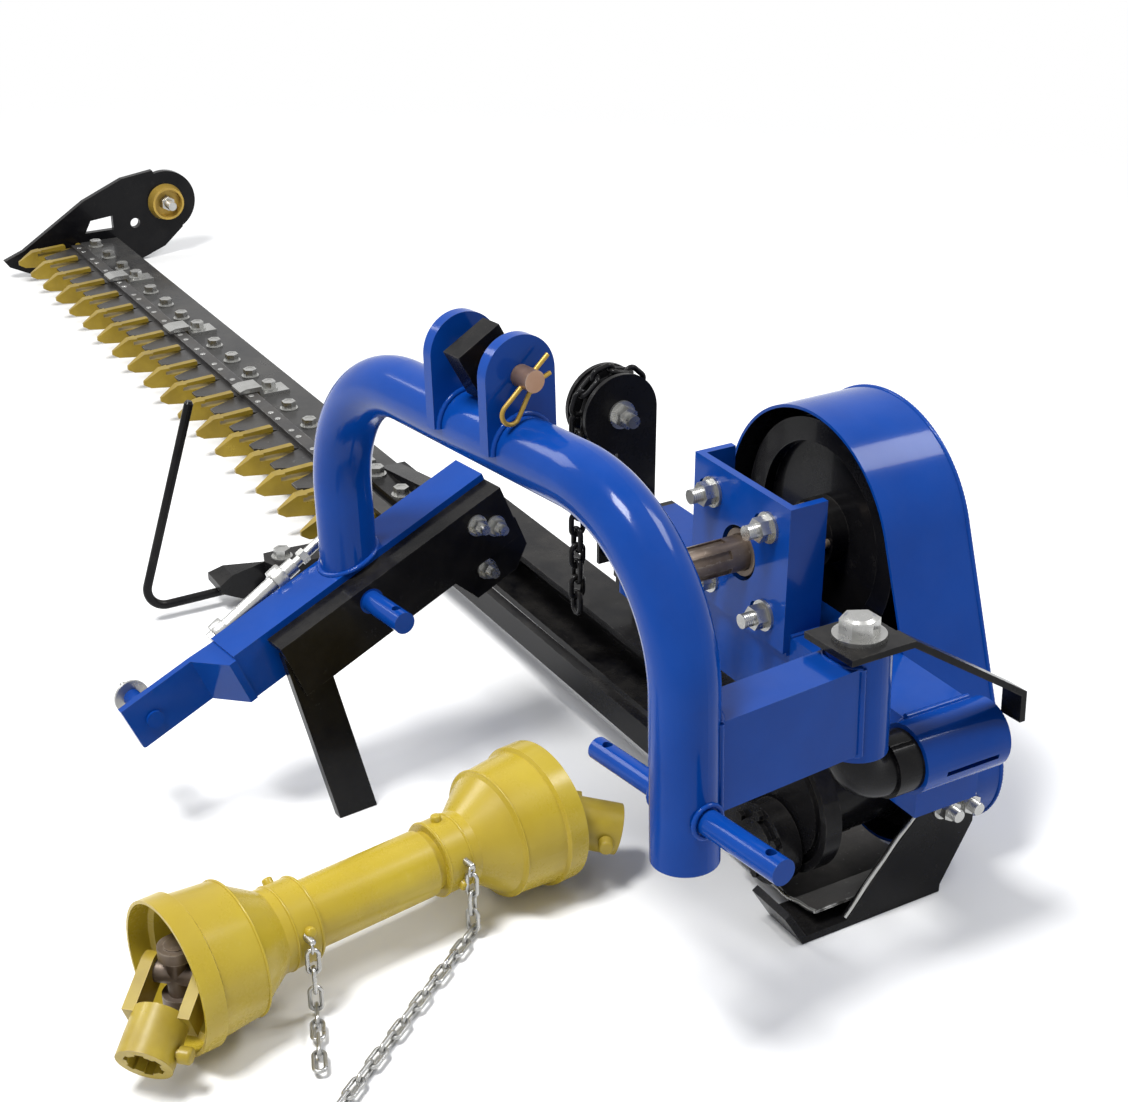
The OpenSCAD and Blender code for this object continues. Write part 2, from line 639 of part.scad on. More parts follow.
// Chain over the sheave: an arc of links and two hanging runs.
module lift_chain() color(paint_black) on_unit() translate([-sheave_x, sheave_y, sheave_z]) {
  step = chain_pitch / sheave_r * 180 / PI;
  count = floor(180 / step);
  spare = (180 - count * step) / 2;
  line_r = sheave_r + chain_d / 2;
  for (i = [0 : count - 1]) rotate([spare + (i + 0.5) * step, 0, 0]) translate([0, line_r, 0])
    rotate([0, 0, 90 * (i % 2)]) link(chain_d, chain_pitch, link_w);
  translate([0, line_r, -1.5]) links_down(5, chain_d, chain_pitch, link_w, 90);
  translate([0, -line_r, -1.5]) links_down(12, chain_d, chain_pitch, link_w, 90 * (count % 2) + 90);
}

belt_w = 15;
belt_h = 11;
belt_gap = 3;
pulley_y = cover_y + 16;
// Belt line around both pulleys, drawn in by a given depth.
module belt_line(inset) hull() {
  translate(input_c) circle(large_pulley_r - inset, $fn = 96);
  translate(crank_c) circle(small_pulley_r - inset, $fn = 96);
}
module drive_belts() color(paint_black) on_unit() for (i = [0, 1])
  translate([0, pulley_y + (pulley_w - 2 * belt_w - belt_gap) / 2 + i * (belt_w + belt_gap), 0])
    along_y(belt_w) difference() {
      belt_line(0);
      belt_line(belt_h);
    }
module pulley(r, bore_r, hub_r, web) {
  groove = belt_h + clear;
  side = (pulley_w - 2 * belt_w - belt_gap) / 2 - clear;
  difference() {
    union() {
      rod_y(r - groove, pulley_w);
      for (y = [0, pulley_w - side]) translate([0, y, 0]) rod_y(r + 2, side);
      translate([0, side + belt_w + 2 * clear, 0]) rod_y(r + 1, belt_gap - 2 * clear);
      translate([0, -8, 0]) rod_y(hub_r, pulley_w + 8);
    }
    translate([0, -far / 2, 0]) rod_y(bore_r, far);
    if (web > 0) for (y = [-1, pulley_w - web]) translate([0, y, 0])
        ring_y(r - groove - 10, hub_r + eps, web + 1);
  }
}

shaft_r = 17.5;
module input_shaft() color(bare_steel) on_unit() translate([0, spline_y, input_z]) difference() {
  union() {
    rod_y(spline_d / 2, beam_y - spline_y - 12);
    rod_y(shaft_r, pulley_y + pulley_w + 10 - spline_y);
  }
  for (i = [0 : 5]) rotate([0, i * 60, 0]) translate([-4.2, -1, spline_d / 2 - 2.6])
      cube([8.4, 78, 10]);
  translate([0, 14, 0]) difference() {
    rod_y(spline_d / 2 + 1, 7);
    translate([0, -1, 0]) rod_y(spline_d / 2 - 2.6, 9);
  }
}
module large_pulley() color(paint_black) on_unit() translate([0, pulley_y, input_z])
  pulley(large_pulley_r, shaft_r + seat, 34, 12);
module crank_shaft() color(bare_steel) on_unit() translate([crank_x, crank_front_y - 10, crank_z])
  rod_y(crank_d / 2, pulley_y + pulley_w + 8 - crank_front_y + 10);
module small_pulley() color(paint_black) on_unit() translate([crank_x, pulley_y, crank_z])
  pulley(small_pulley_r, crank_d / 2 + seat, crank_d / 2 + 10, 0);

wheel_t = 18;
wheel_y = crank_front_y - 10 - wheel_t;
module flywheel() color(paint_black) on_unit() translate([crank_x, wheel_y, crank_z]) difference() {
  union() {
    rod_y(flywheel_r, wheel_t);
    translate([0, wheel_t - eps, 0]) rod_y(crank_d / 2 + 9, 8);
  }
  translate([0, wheel_t - 8, 0]) rod_y(crank_d / 2 + seat, far);
  translate([0, -1, 0]) ring_y(flywheel_r - 8, flywheel_r - 16, 5);
}

skid_w = 52;
skid_len = 184;
skid_y = 164;
skid_t = 8;
skid_x = crank_x + small_pulley_r + cover_gap - 3 + cover_t + clear;
skid_bolt_y = [18, 42];
skid_bolt_d = 12;
module skid() color(paint_black) on_unit() difference() {
  union() {
    translate([skid_x + skid_t - skid_w, 0, 0]) rotate([90, 0, 90]) linear_extrude(skid_w) polygon([
      [skid_y + 22, 0], [skid_y + skid_len, 0], [skid_y + skid_len, skid_t], [skid_y + 26, skid_t],
      [skid_y + 6, 40], [skid_y, 36]]);
    translate([skid_x, 0, 0]) rotate([90, 0, 90]) linear_extrude(skid_t) polygon([
      [skid_y + 72, skid_t - eps], [skid_y + skid_len, skid_t - eps],
          [cover_y + skid_bolt_y[1] + 14, crank_z - 30],
      [cover_y + skid_bolt_y[1] + 14, crank_z + 14], [cover_y + 2, crank_z + 14],
          [skid_y + 122, crank_z - 30]]);
  }
  for (y = skid_bolt_y) translate([crank_x, cover_y + y, crank_z]) rod_x(skid_bolt_d / 2 + seat, far);
}
module base_pan() color([0.45, 0.46, 0.47]) on_unit() translate([0, skid_y + 42, 0]) rotate([90, 0, 0])
    mirror([0, 0, 1])
  linear_extrude(cover_y + 16 - skid_y - 42) polygon(concat(
    [for (i = [0 : 16]) let (t = i / 16) [pan_x0 + t * (pan_x1 - pan_x0), pan_z(t)]],
    [for (i = [16 : -1 : 0]) let (t = i / 16) [pan_x0 + t * (pan_x1 - pan_x0), pan_z(t) + 3]]));
pan_x0 = crank_x - 70;
pan_x1 = skid_x - clear;
function pan_z(t) = skid_t + 1 + 7 * t * t + (t > 0.75 ? 24 * (t - 0.75) : 0);

hinge_grip = 60;
module unit_bolts() color(zinc) on_unit() {
  for (sx = [-1, 1], sz = [-1, 1])
    translate([sx * bearing_bolts_sq / 2, beam_y - bracket_t, input_z + sz * bearing_bolts_sq / 2])
      rotate([90, 0, 0]) bolt_z(bolt_d, bracket_t + housing_t, 26);
  for (y = skid_bolt_y) translate([skid_x + skid_t, cover_y + y, crank_z]) rotate([0, 90, 0])
    bolt_z(skid_bolt_d, skid_t + cover_t + clear + 0.6, 22);
  translate([-sheave_x + sheave_half + clear + cheek_t, sheave_y, sheave_z]) rotate([0, 90, 0])
    bolt_z(bolt_sheave_d, 2 * (sheave_half + clear + cheek_t), 26);
  translate([-hinge_x, beam_front, hinge_z]) rotate([90, 0, 0]) translate([0, 0, -4])
    bolt_z(hinge_d, hinge_grip - 8, 21);
}

rod_front_y = wheel_y - clear - 24;
pitman_t = 12;
crank_pin_z = crank_z - crank_r;
end_r = 40;
module pitman_rod() color(paint_black) on_unit() difference() {
  union() {
    translate([0, rod_front_y + 6, 0]) along_y(pitman_t) {
      polygon([[crank_x - end_r + 6, crank_pin_z + 20], [crank_x - end_r + 6, crank_pin_z - 20],
          [crank_x - 130, crank_pin_z - 15],
        [-hinge_x + 60, hinge_z - 27], [-hinge_x - 12, hinge_z - 27], [-hinge_x - 12, hinge_z + 3],
            [-hinge_x + 60, hinge_z + 3], [crank_x - 130, crank_pin_z + 15]]);
      translate([-hinge_x, hinge_z - 12]) circle(17);
    }
  }
  translate([-hinge_x, 0, hinge_z - 12]) rod_y(9, far * 2);
  translate([crank_x, 0, crank_pin_z]) rod_y(end_r + seat, far * 2);
}
module big_end() color(paint_black) on_unit() translate([crank_x, rod_front_y, crank_pin_z]) {
  rod_y(end_r, 21);
  translate([0, 20, 0]) rod_y(18, 4);
  translate([0, -5, 0]) rod_y(end_r - 14, 6);
  for (i = [0 : 5]) rotate([0, i * 60 + 30, 0]) translate([end_r - 8, -5, 0]) rotate([-90, 0, 0])
      hex_z(9, 6);
}

yoke_y = beam_front + 16 + clear;
yoke_w = 28 - 2 * clear;
foot_t = 12;
foot_end = first_guard_x + guard_pitch + 22;
module hinge_yoke() color(paint_black) on_unit() difference() {
  union() {
    translate([0, yoke_y, 0]) along_y(yoke_w) {
      translate([-hinge_x, hinge_z]) circle(24);
      polygon([[-hinge_x, hinge_z - 20], [-hinge_x, hinge_z + 24], [-first_guard_x - 10, bar_top_z + 26],
        [-foot_end, bar_top_z + foot_t], [-foot_end, bar_top_z], [-hinge_x - 44, bar_top_z]]);
    }
    translate([-foot_end, bar_y + 4, bar_top_z]) cube([foot_end - hinge_x - 44, bar_w - 4, foot_t]);
  }
  translate([-hinge_x, 0, hinge_z]) rod_y(hinge_d / 2 + run, far * 2);
  for (i = [0, 1]) translate([-first_guard_x - i * guard_pitch, bar_y + 18, 0])
    cylinder(d = bar_bolt_d + 2 * seat, h = far);
}
bar_bolt_d = 12;

shoe_inner_x = first_guard_x - guard_pitch / 2;
shoe_w = 44;
module inner_shoe() color(paint_black) on_unit() difference() {
  translate([-shoe_inner_x, 0, 0]) rotate([90, 0, 90]) linear_extrude(shoe_w)
      difference() {
    polygon([[guard_tip_y - 96, 0], [bar_back_y + 40, 0], [bar_back_y + 46, 14],
        [bar_back_y + 10, bar_z],
      [bar_y - 40, bar_z], [guard_tip_y - 40, 46], [guard_tip_y - 122, 46], [guard_tip_y - 140, 38],
          [guard_tip_y - 140, 28]]);
    polygon([[guard_tip_y - 80, 10], [bar_back_y - 20, 10], [bar_back_y - 30, bar_z - 10],
        [guard_tip_y - 70, bar_z - 10]]);
  }
  translate([-shoe_inner_x + shoe_w / 2, 0, 0]) for (s = [-1, 1])
      translate([s * shoe_w / 2, guard_tip_y - 140, -1])
    rotate([0, 0, s * 18]) translate([s > 0 ? 0 : -60, -60, 0]) cube([60, 130, 60]);
  translate([-shoe_inner_x + shoe_w / 2, divider_y, divider_z]) rotate([-90, 0, 0]) translate([0, 0, -60])
      cylinder(d = divider_d + 2 * seat, h = 90);
  translate([-shoe_inner_x + shoe_w / 2, shoe_bolt_y, 0]) cylinder(d = bar_bolt_d + 2 * seat, h = far);
}
shoe_bolt_y = guard_tip_y - 50;
divider_y = guard_tip_y - 140;
divider_z = 20;
divider_up = 232;
divider_out = 84;
divider_lean = 18;
divider_bend = 24;
module divider_rod() color(paint_black) on_unit()
    translate([-shoe_inner_x + shoe_w / 2, divider_y, divider_z]) {
  r = divider_d / 2;
  turn = 90 + divider_lean;
  translate([0, divider_bend - divider_out, 0]) rod_y(r, divider_out - divider_bend + 30);
  translate([0, divider_bend - divider_out, divider_bend]) {
    rotate([0, 0, 180]) rotate([0, 90, 0]) rotate_extrude(angle = turn)
      translate([divider_bend, 0]) circle(r + seat);
    translate([0, -divider_bend * sin(turn), -divider_bend * cos(turn)]) rotate([-divider_lean, 0, 0]) {
      cylinder(r = r, h = divider_up);
      translate([0, 0, divider_up]) cylinder(r1 = r, r2 = r * 0.6, h = r * 0.6);
    }
  }
}

module bar_plate() color(paint_black) on_unit() difference() {
  translate([-outer_shoe_x, bar_y, bar_z]) cube([outer_shoe_x - hinge_x - 46, bar_w, bar_t]);
  for (i = [0 : guard_count - 1]) translate([-first_guard_x - i * guard_pitch, bar_y + 18, 0])
    cylinder(d = bar_bolt_d + 2 * seat, h = far);
}

finger_w = 26;
slit_z = bar_top_z + 0.5;
slit_h = section_t + 2.5;
lip_t = 7;
lip_w = 11;
module guard() difference() {
  intersection() {
    linear_extrude(far) polygon([[-2, 0], [2, 0], [finger_w / 2, 62], [finger_w / 2, guard_len - 20],
        [guard_pitch / 2 - clear, guard_len - 8],
      [guard_pitch / 2 - clear, guard_len + 42], [-guard_pitch / 2 + clear, guard_len + 42],
          [-guard_pitch / 2 + clear, guard_len - 8],
      [-finger_w / 2, guard_len - 20], [-finger_w / 2, 62]]);
    rotate([90, 0, 90]) translate([0, 0, -far / 2]) linear_extrude(far) polygon([[0, bar_z - 2],
        [10, bar_z - 8], [guard_len - 30, bar_z - 14], [guard_len - 2, bar_z - 10],
      [guard_len + 42, bar_z - 10], [guard_len + 42, bar_z], [guard_len - 2, bar_z],
          [guard_len - 2, slit_z],
      [guard_len - 42, slit_z + slit_h + lip_t], [26, slit_z + slit_h + lip_t - 3], [0, bar_z + 4]]);
  }
  translate([-far / 2, 34, slit_z]) cube([far, far, slit_h]);
  translate([-far / 2, guard_len - 40, slit_z]) cube([far, far, far]);
  for (s = [-1, 1]) translate([s > 0 ? lip_w / 2 : -lip_w / 2 - far, 40, slit_z + slit_h])
    cube([far, far, far]);
  translate([0, guard_len + 18, -1]) cylinder(d = bar_bolt_d + 2 * seat, h = far);
}
module guards() color(gold) on_unit() for (i = [0 : guard_count - 1])
  translate([-first_guard_x - i * guard_pitch, guard_tip_y, 0]) guard();
// Height of what lies on the bar under guard bolt i.
function seat_t(i) = i < 2 ? foot_t : is_clip(i) ? clip_t : 0;
module bar_bolts() color(zinc) on_unit() {
  for (i = [0 : guard_count - 1])
    translate([-first_guard_x - i * guard_pitch, bar_y + 18, bar_top_z + seat_t(i)])
      bolt_z(bar_bolt_d, bar_t + 10 + seat_t(i), 12);
  translate([-shoe_inner_x + shoe_w / 2, shoe_bolt_y, 46]) bolt_z(bar_bolt_d, 56 - bar_z, 12);
}
function is_clip(i) = i % 4 == 2;
clip_t = 6;
module hold_down_clips() color(zinc) on_unit() for (i = [0 : guard_count - 1]) if (is_clip(i))
  translate([-first_guard_x - i * guard_pitch, 0, 0]) difference() {
    translate([-17, 0, 0]) rotate([90, 0, 90]) linear_extrude(34) polygon([
      [bar_y + 44, bar_top_z], [bar_y + 44, bar_top_z + clip_t], [bar_y + 3, bar_top_z + clip_t],
          [bar_y, knife_top + 8],
      [bar_y - 24, knife_top + 8], [bar_y - 34, knife_top + 5], [bar_y - 34, knife_top + 1],
          [bar_y - 4, knife_top + 1], [bar_y, bar_top_z]]);
    translate([0, bar_y + 18, 0]) cylinder(d = bar_bolt_d + 2 * seat, h = far);
  }

knife_top = knife_z + section_t + 6;
knife_y = bar_y - 28;
knife_inner_x = first_guard_x - 50;
knife_outer_x = outer_shoe_x - crank_r - 4;
head_y = rod_front_y + 6 + pitman_t + 1;
module knife_bar() color([0.25, 0.26, 0.27]) on_unit() difference() {
  union() {
    translate([-knife_outer_x, knife_y, knife_z + section_t])
        cube([knife_outer_x - knife_inner_x + 20, 20, 6]);
    translate([-knife_inner_x - 20, head_y, knife_z + section_t])
        cube([knife_inner_x + 20 - hinge_x, 12, 6]);
    translate([0, head_y, 0]) along_y(12) {
      translate([-hinge_x, hinge_z - 12]) circle(17);
      translate([-hinge_x - 40, knife_z + section_t]) square([40, 12]);
    }
  }
  translate([-hinge_x, 0, hinge_z - 12]) rod_y(9, far * 2);
}
section_len = 78;
module knife_sections() color([0.20, 0.20, 0.21]) on_unit() for (i = [0 : guard_count - 2])
  translate([-first_guard_x - (i + 0.5) * guard_pitch, knife_y + 20, knife_z])
      linear_extrude(section_t) polygon([
    [-guard_pitch / 2 + 0.3, 0], [guard_pitch / 2 - 0.3, 0], [guard_pitch / 2 - 0.3, -22],
        [9, -section_len], [-9, -section_len],
    [-guard_pitch / 2 + 0.3, -22]]);

cup_y = 392;
cup_z = 104;
module outer_profile() difference() {
  union() {
    polygon([[guard_tip_y - 16, 36], [guard_tip_y - 8, 24], [guard_tip_y + 40, 0], [cup_y - 60, 0],
        [cup_y - 8, 20], [cup_y + 30, 52],
      [cup_y - 20, cup_z + 62], [cup_y - 80, cup_z + 54], [guard_tip_y + 140, cup_z + 22],
          [guard_tip_y + 20, 50]]);
    translate([cup_y, cup_z]) circle(58);
  }
  translate([cup_y - 62, cup_z - 32]) circle(9);
  polygon([[cup_y - 158, 66], [cup_y - 104, 66], [cup_y - 104, 92], [cup_y - 146, 88]]);
}
module outer_shoe() color(paint_black) on_unit() translate([-outer_shoe_x - shoe_t, 0, 0]) difference()
    {
  rotate([90, 0, 90]) linear_extrude(shoe_t) outer_profile();
  translate([-1, cup_y, cup_z]) rod_x(8 + seat, far);
}
module swath_cup() color(gold) on_unit() translate([-outer_shoe_x, cup_y, cup_z]) {
  rotate([0, 90, 0]) difference() {
    cylinder(r1 = 34, r2 = 30, h = 18);
    translate([0, 0, 4]) cylinder(r = 26, h = 20);
  }
  translate([-shoe_t - 6, 0, 0]) rod_x(8, shoe_t + 46);
  translate([3.9, 0, 0]) rotate([0, 90, 0]) hex_z(24, 14);
}

// Three-lobed profile tube section.
module lobes(r) intersection_for (a = [0 : 120 : 240]) rotate(a) translate([r * 0.45, 0])
    circle(r * 1.45);

// Guard half: tube, collar and ribbed cone; the cone opens towards +Z.
module guard_half(tube_r, tube_from) {
  neck_u = joint_u - bell_len;
  rim_u = joint_u + 12;
  w = guard_wall;
  rotate_extrude() polygon([[tube_r, -tube_from], [tube_r, neck_u - 22], [tube_r + 7, neck_u - 22],
      [tube_r + 7, neck_u + 14],
    [cone_r - 12, neck_u + 44], [cone_r - 8, neck_u + 46], [cone_r - 4, rim_u - 22],
        [cone_r, rim_u - 20], [cone_r, rim_u],
    [cone_r - w, rim_u], [cone_r - w, rim_u - 19], [cone_r - 5 - w, rim_u - 22],
        [cone_r - 9 - w, neck_u + 48], [cone_r - 13 - w, neck_u + 46],
    [tube_r + 6 - w, neck_u + 17], [tube_r - w, neck_u + 10], [tube_r - w, -tube_from]]);
}
bell_len = 100;
tube_in_r = guard_tube_r - guard_wall - clear;
module front_guard() color(shaft_yellow) on_shaft() rotate([90, 0, 0]) guard_half(guard_tube_r, 60);
module rear_guard() color(shaft_yellow) on_shaft() rotate([-90, 0, 0]) guard_half(tube_in_r, 60);

hub_r = 25;
ear_r = 15.5;
ear_plate = 11;
// Yoke whose ears lie at +-X and whose hub lies on the -Z side of the joint.
module yoke(hub_from, hub_to) difference() {
  union() {
    translate([0, 0, -hub_to]) cylinder(r = hub_r, h = hub_to - hub_from);
    for (s = [-1, 1]) translate([s > 0 ? cross_half - ear_plate : -cross_half, 0, 0])
        rotate([0, 90, 0]) linear_extrude(ear_plate) {
      circle(ear_r);
      translate([0, -ear_r]) square([hub_from + 6, 2 * ear_r]);
    }
  }
  translate([-far / 2, 0, 0]) rod_x(trunnion_d / 2 + run, far);
}
module shaft_half(prof_from, prof_r, bore_r) difference() {
  union() {
    translate([0, 0, joint_u]) rotate([0, 0, 90]) yoke(38, 62);
    translate([0, 0, -prof_from]) linear_extrude(joint_u - 40 + prof_from) lobes(prof_r);
  }
  if (bore_r > 0) translate([0, 0, -prof_from - 1]) linear_extrude(joint_u - 70 + prof_from)
      lobes(bore_r);
}
prof_r = 20;
module front_shaft() color([0.42, 0.40, 0.36]) on_shaft() rotate([90, 0, 0])
    shaft_half(50, prof_r, prof_r - 4);
module rear_shaft() color([0.42, 0.40, 0.36]) on_shaft() rotate([-90, 0, 0])
    shaft_half(50, prof_r - 4 - 0.6, 0);

module cross() for (a = [0, 90]) rotate([0, 0, a]) translate([-cross_half - 1, 0, 0])
    rod_x(trunnion_d / 2, 2 * cross_half + 2);
front_turn = 38;
front_drop = 24;
rear_turn = 36;
rear_drop = 14;
// Frames at the two joints, +Z along the shaft away from its middle, turned by the cross.
module at_front() on_shaft() translate([0, -joint_u, 0]) rotate([90, 0, 0]) rotate([0, front_turn, 0])
    children();
module at_rear() on_shaft() translate([0, joint_u, 0]) rotate([-90, 0, 0]) rotate([0, rear_turn, 0])
    children();
module front_cross() color([0.42, 0.40, 0.36]) at_front() cross();
module rear_cross() color([0.42, 0.40, 0.36]) at_rear() cross();

hub_end = 84;
module end_yoke() difference() {
  rotate([180, 0, 0]) yoke(40, hub_end);
  translate([0, 0, 30]) cylinder(d = spline_d - 5, h = far);
  for (i = [0 : 5]) rotate([0, 0, i * 60 + 30]) translate([0, -4, 41])
      cube([spline_d / 2 + 0.1, 8, far]);
  translate([hub_r - 6, 0, hub_end - 14]) rod_x(5, far);
}
module front_yoke() color(shaft_yellow) at_front() rotate([front_drop, 0, 0]) end_yoke();
module rear_yoke() color(shaft_yellow) at_rear() rotate([-rear_drop, 0, 0]) end_yoke();

tie_d = 4;
tie_pitch = 20;
tie_w = 14;
collar_u = joint_u - bell_len - 4;
// Tether chain: hangs beside the collar from the height of the axis and lies along the ground.
module tether(x, drop, lie, heading) {
  translate([x, 0, -0.5]) links_down(drop, tie_d, tie_pitch, tie_w, heading);
  translate([x, 0, tie_w / 2 + 0.3 - cone_r]) rotate([0, 0, heading]) translate([0, 2.5, 0])
    rotate([-90, 0, 0]) links_down(lie, tie_d, tie_pitch, tie_w, 90);
}
module front_chain() color(zinc) on_shaft() translate([0, -collar_u, 0])
  tether(guard_tube_r + 7 + tie_w / 2 + clear, 3, 4, 60);
module rear_chain() color(zinc) on_shaft() translate([0, collar_u, 0])
  tether(tube_in_r + 7 + tie_w / 2 + clear, 3, 13, 28);

arch_tube();
top_link_ears();
pivot_arm();
lower_hitch_pins();
top_link_pin();
pin_block();
hairpin_clip();
side_arm();
latch_bracket();
latch_pin();
latch_washers();
stand_angle();
parking_leg();
tie_rod();
hitch_bolts();
knuckle_elbow();
pivot_plate();
pivot_bolt();
cross_beam();
bearing_bracket();
bearing_housing();
belt_cover();
main_beam();
crank_housing();
sheave_bracket();
unit_bolts();
lift_chain();
drive_belts();
skid();
base_pan();
input_shaft();
large_pulley();
crank_shaft();
small_pulley();
flywheel();
chain_sheave();
pitman_rod();
big_end();
hinge_yoke();
inner_shoe();
bar_plate();
guards();
bar_bolts();
hold_down_clips();
outer_shoe();
swath_cup();
divider_rod();
knife_bar();
knife_sections();
front_guard();
rear_guard();
front_shaft();
rear_shaft();
front_cross();
rear_cross();
front_yoke();
rear_yoke();
front_chain();
rear_chain();
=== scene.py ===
"""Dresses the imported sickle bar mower: finishes, small fittings, floor, light and camera.

Small pieces are modelled in millimetres and degrees, and placed in metres.
"""

import json
import logging
import math
from dataclasses import dataclass, replace
from enum import Enum
from typing import Any, Callable, Iterable, Optional

import bpy
from mathutils import Matrix, Vector


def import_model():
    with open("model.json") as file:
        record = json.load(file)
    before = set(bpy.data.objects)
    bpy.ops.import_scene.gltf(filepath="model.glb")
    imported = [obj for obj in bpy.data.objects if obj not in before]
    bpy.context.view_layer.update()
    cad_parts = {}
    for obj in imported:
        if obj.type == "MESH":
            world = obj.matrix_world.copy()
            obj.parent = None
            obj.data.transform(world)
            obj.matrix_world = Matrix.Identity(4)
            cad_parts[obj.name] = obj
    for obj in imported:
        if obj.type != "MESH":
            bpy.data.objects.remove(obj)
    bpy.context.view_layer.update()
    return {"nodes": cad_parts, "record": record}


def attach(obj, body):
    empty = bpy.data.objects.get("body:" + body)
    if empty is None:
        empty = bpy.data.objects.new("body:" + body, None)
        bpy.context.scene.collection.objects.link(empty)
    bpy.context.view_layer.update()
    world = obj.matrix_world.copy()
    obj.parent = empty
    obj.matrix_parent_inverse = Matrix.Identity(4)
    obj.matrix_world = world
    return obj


LOG = logging.getLogger("mower")
MM = 0.001

Pair = tuple[float, float]
Color = tuple[float, float, float]
Point = tuple[float, float, float]
Socket = bpy.types.NodeSocket
Piece = bpy.types.Object
Node = bpy.types.Node
Tree = bpy.types.NodeTree
Material = bpy.types.Material

WELD_D = 6.0
THIN_WELD_D = 5.0
WELD_SMOOTH = 60.0
RIPPLE_PITCH = 0.42
RIPPLE_DEPTH = 0.06


def turn(angle: float, axis: str) -> Matrix:
    """Returns a rotation in degrees about a named axis."""
    return Matrix.Rotation(math.radians(angle), 4, axis)


def move(x: float, y: float, z: float) -> Matrix:
    """Returns a translation in millimetres."""
    return Matrix.Translation((x, y, z))


class Slot(Enum):
    """Material slots of the record."""

    BLUE = "blue_paint"
    BLACK = "black_paint"
    ZINC = "zinc"
    GOLD = "gold_coat"
    WORN = "worn_steel"
    KNIFE = "knife_steel"
    RUBBER = "belt_rubber"
    PLASTIC = "yellow_plastic"
    YELLOW = "yellow_paint"


@dataclass(frozen=True)
class Layout:
    """Places and angles that the CAD source gives, in millimetres and degrees."""

    mid_x: float = -843.755
    mid_y: float = 14.0
    leg_x: float = 270.0
    pivot_y: float = 182.0
    roll_z: float = 217.6
    swing: float = 5.0
    lean: float = 3.0
    pin_z: float = 256.0
    side_pitch: float = 22.0
    shaft_at: Pair = (21.0, -163.0)
    shaft_heading: float = 8.6
    cone_r: float = 70.0

    def unit(self) -> Matrix:
        """Returns the matrix of the drive unit and the cutter bar."""
        return move(-self.mid_x, -self.mid_y, 0)

    def knuckle(self) -> Matrix:
        """Returns the matrix of the leaning break-away knuckle."""
        at = move(self.leg_x, 0, self.roll_z)
        return self.unit() @ at @ turn(-self.lean, "Y") @ at.inverted()

    def hitch(self) -> Matrix:
        """Returns the matrix of the hitch frame."""
        at = move(self.leg_x, self.pivot_y, 0)
        return self.knuckle() @ at @ turn(self.swing, "Z") @ at.inverted()

    def arm(self) -> Matrix:
        """Returns the matrix of the pitched side arm."""
        return self.hitch() @ move(-self.leg_x, 0, self.pin_z) @ turn(self.side_pitch, "X")

    def shaft(self) -> Matrix:
        """Returns the matrix of the drive shaft on the ground."""
        return self.unit() @ move(*self.shaft_at, self.cone_r) @ turn(self.shaft_heading, "Z")


LAYOUT = Layout()


class Sketch:
    """A node tree that is filled in step by step."""

    def __init__(self, tree: Tree) -> None:
        """Keeps the tree to fill.

        Args:
            tree: The node tree of a material, a group or the sky.
        """
        self.tree = tree

    def add(self, kind: str, links: Optional[dict] = None, **values: object) -> Node:
        """Adds a node.

        Args:
            kind: Type name without the ShaderNode prefix.
            links: Input name or number to the output socket that feeds it.
            values: Node settings, or input values whose names start with in_.

        Returns:
            The new node.
        """
        made = self.tree.nodes.new("ShaderNode" + kind)
        for name, value in values.items():
            if name.startswith("in_"):
                made.inputs[name[3:].replace("_", " ")].default_value = value
            else:
                setattr(made, name, value)
        for name, source in (links or {}).items():
            self.tree.links.new(source, made.inputs[name])
        return made

    def feed(self, socket: Socket, source: object) -> None:
        """Links an input to a source, or sets its value.

        Args:
            socket: The input socket.
            source: Socket, number or colour.
        """
        if isinstance(source, Socket):
            self.tree.links.new(source, socket)
        else:
            socket.default_value = source

    def math(self, operation: str, first: object, second: object, clamp: bool = False) -> Socket:
        """Adds a Math node.

        Args:
            operation: Name of the operation.
            first: Socket or number.
            second: Socket or number.
            clamp: Whether the result is held between 0 and 1.

        Returns:
            The result socket.
        """
        made = self.add("Math", operation=operation, use_clamp=clamp)
        self.feed(made.inputs[0], first)
        self.feed(made.inputs[1], second)
        return made.outputs[0]

    def blend(self, mask: Socket, low: object, high: object) -> Socket:
        """Mixes two colours.

        Args:
            mask: Socket that is 0 for the first colour and 1 for the second.
            low: Colour or socket.
            high: Colour or socket.

        Returns:
            The mixed colour socket.
        """
        made = self.add("Mix", {0: mask}, data_type="RGBA")
        for number, source in ((6, low), (7, high)):
            self.feed(made.inputs[number], (*source, 1.0) if isinstance(source, tuple) else source)
        return made.outputs[2]

    def span(
        self, value: Socket, low: float, high: float, out_low: float = 0.0, out_high: float = 1.0
    ) -> Socket:
        """Maps a value from one range to another and clamps it.

        Args:
            value: Socket to map.
            low: Start of the range that is read.
            high: End of the range that is read.
            out_low: Value at the start.
            out_high: Value at the end.

        Returns:
            The mapped socket.
        """
        made = self.add("MapRange", {"Value": value}, in_From_Min=low, in_From_Max=high)
        self.feed(made.inputs["To Min"], out_low)
        self.feed(made.inputs["To Max"], out_high)
        return made.outputs[0]

    def noise(self, place: Socket, scale: object, detail: float, rough: float = 0.5) -> Socket:
        """Adds a Noise Texture node.

        Args:
            place: Coordinates.
            scale: Socket or number.
            detail: Number of octaves.
            rough: Strength of the finer octaves.

        Returns:
            The noise socket.
        """
        made = self.add("TexNoise", {"Vector": place}, in_Detail=detail, in_Roughness=rough)
        self.feed(made.inputs["Scale"], scale)
        return made.outputs["Fac"]


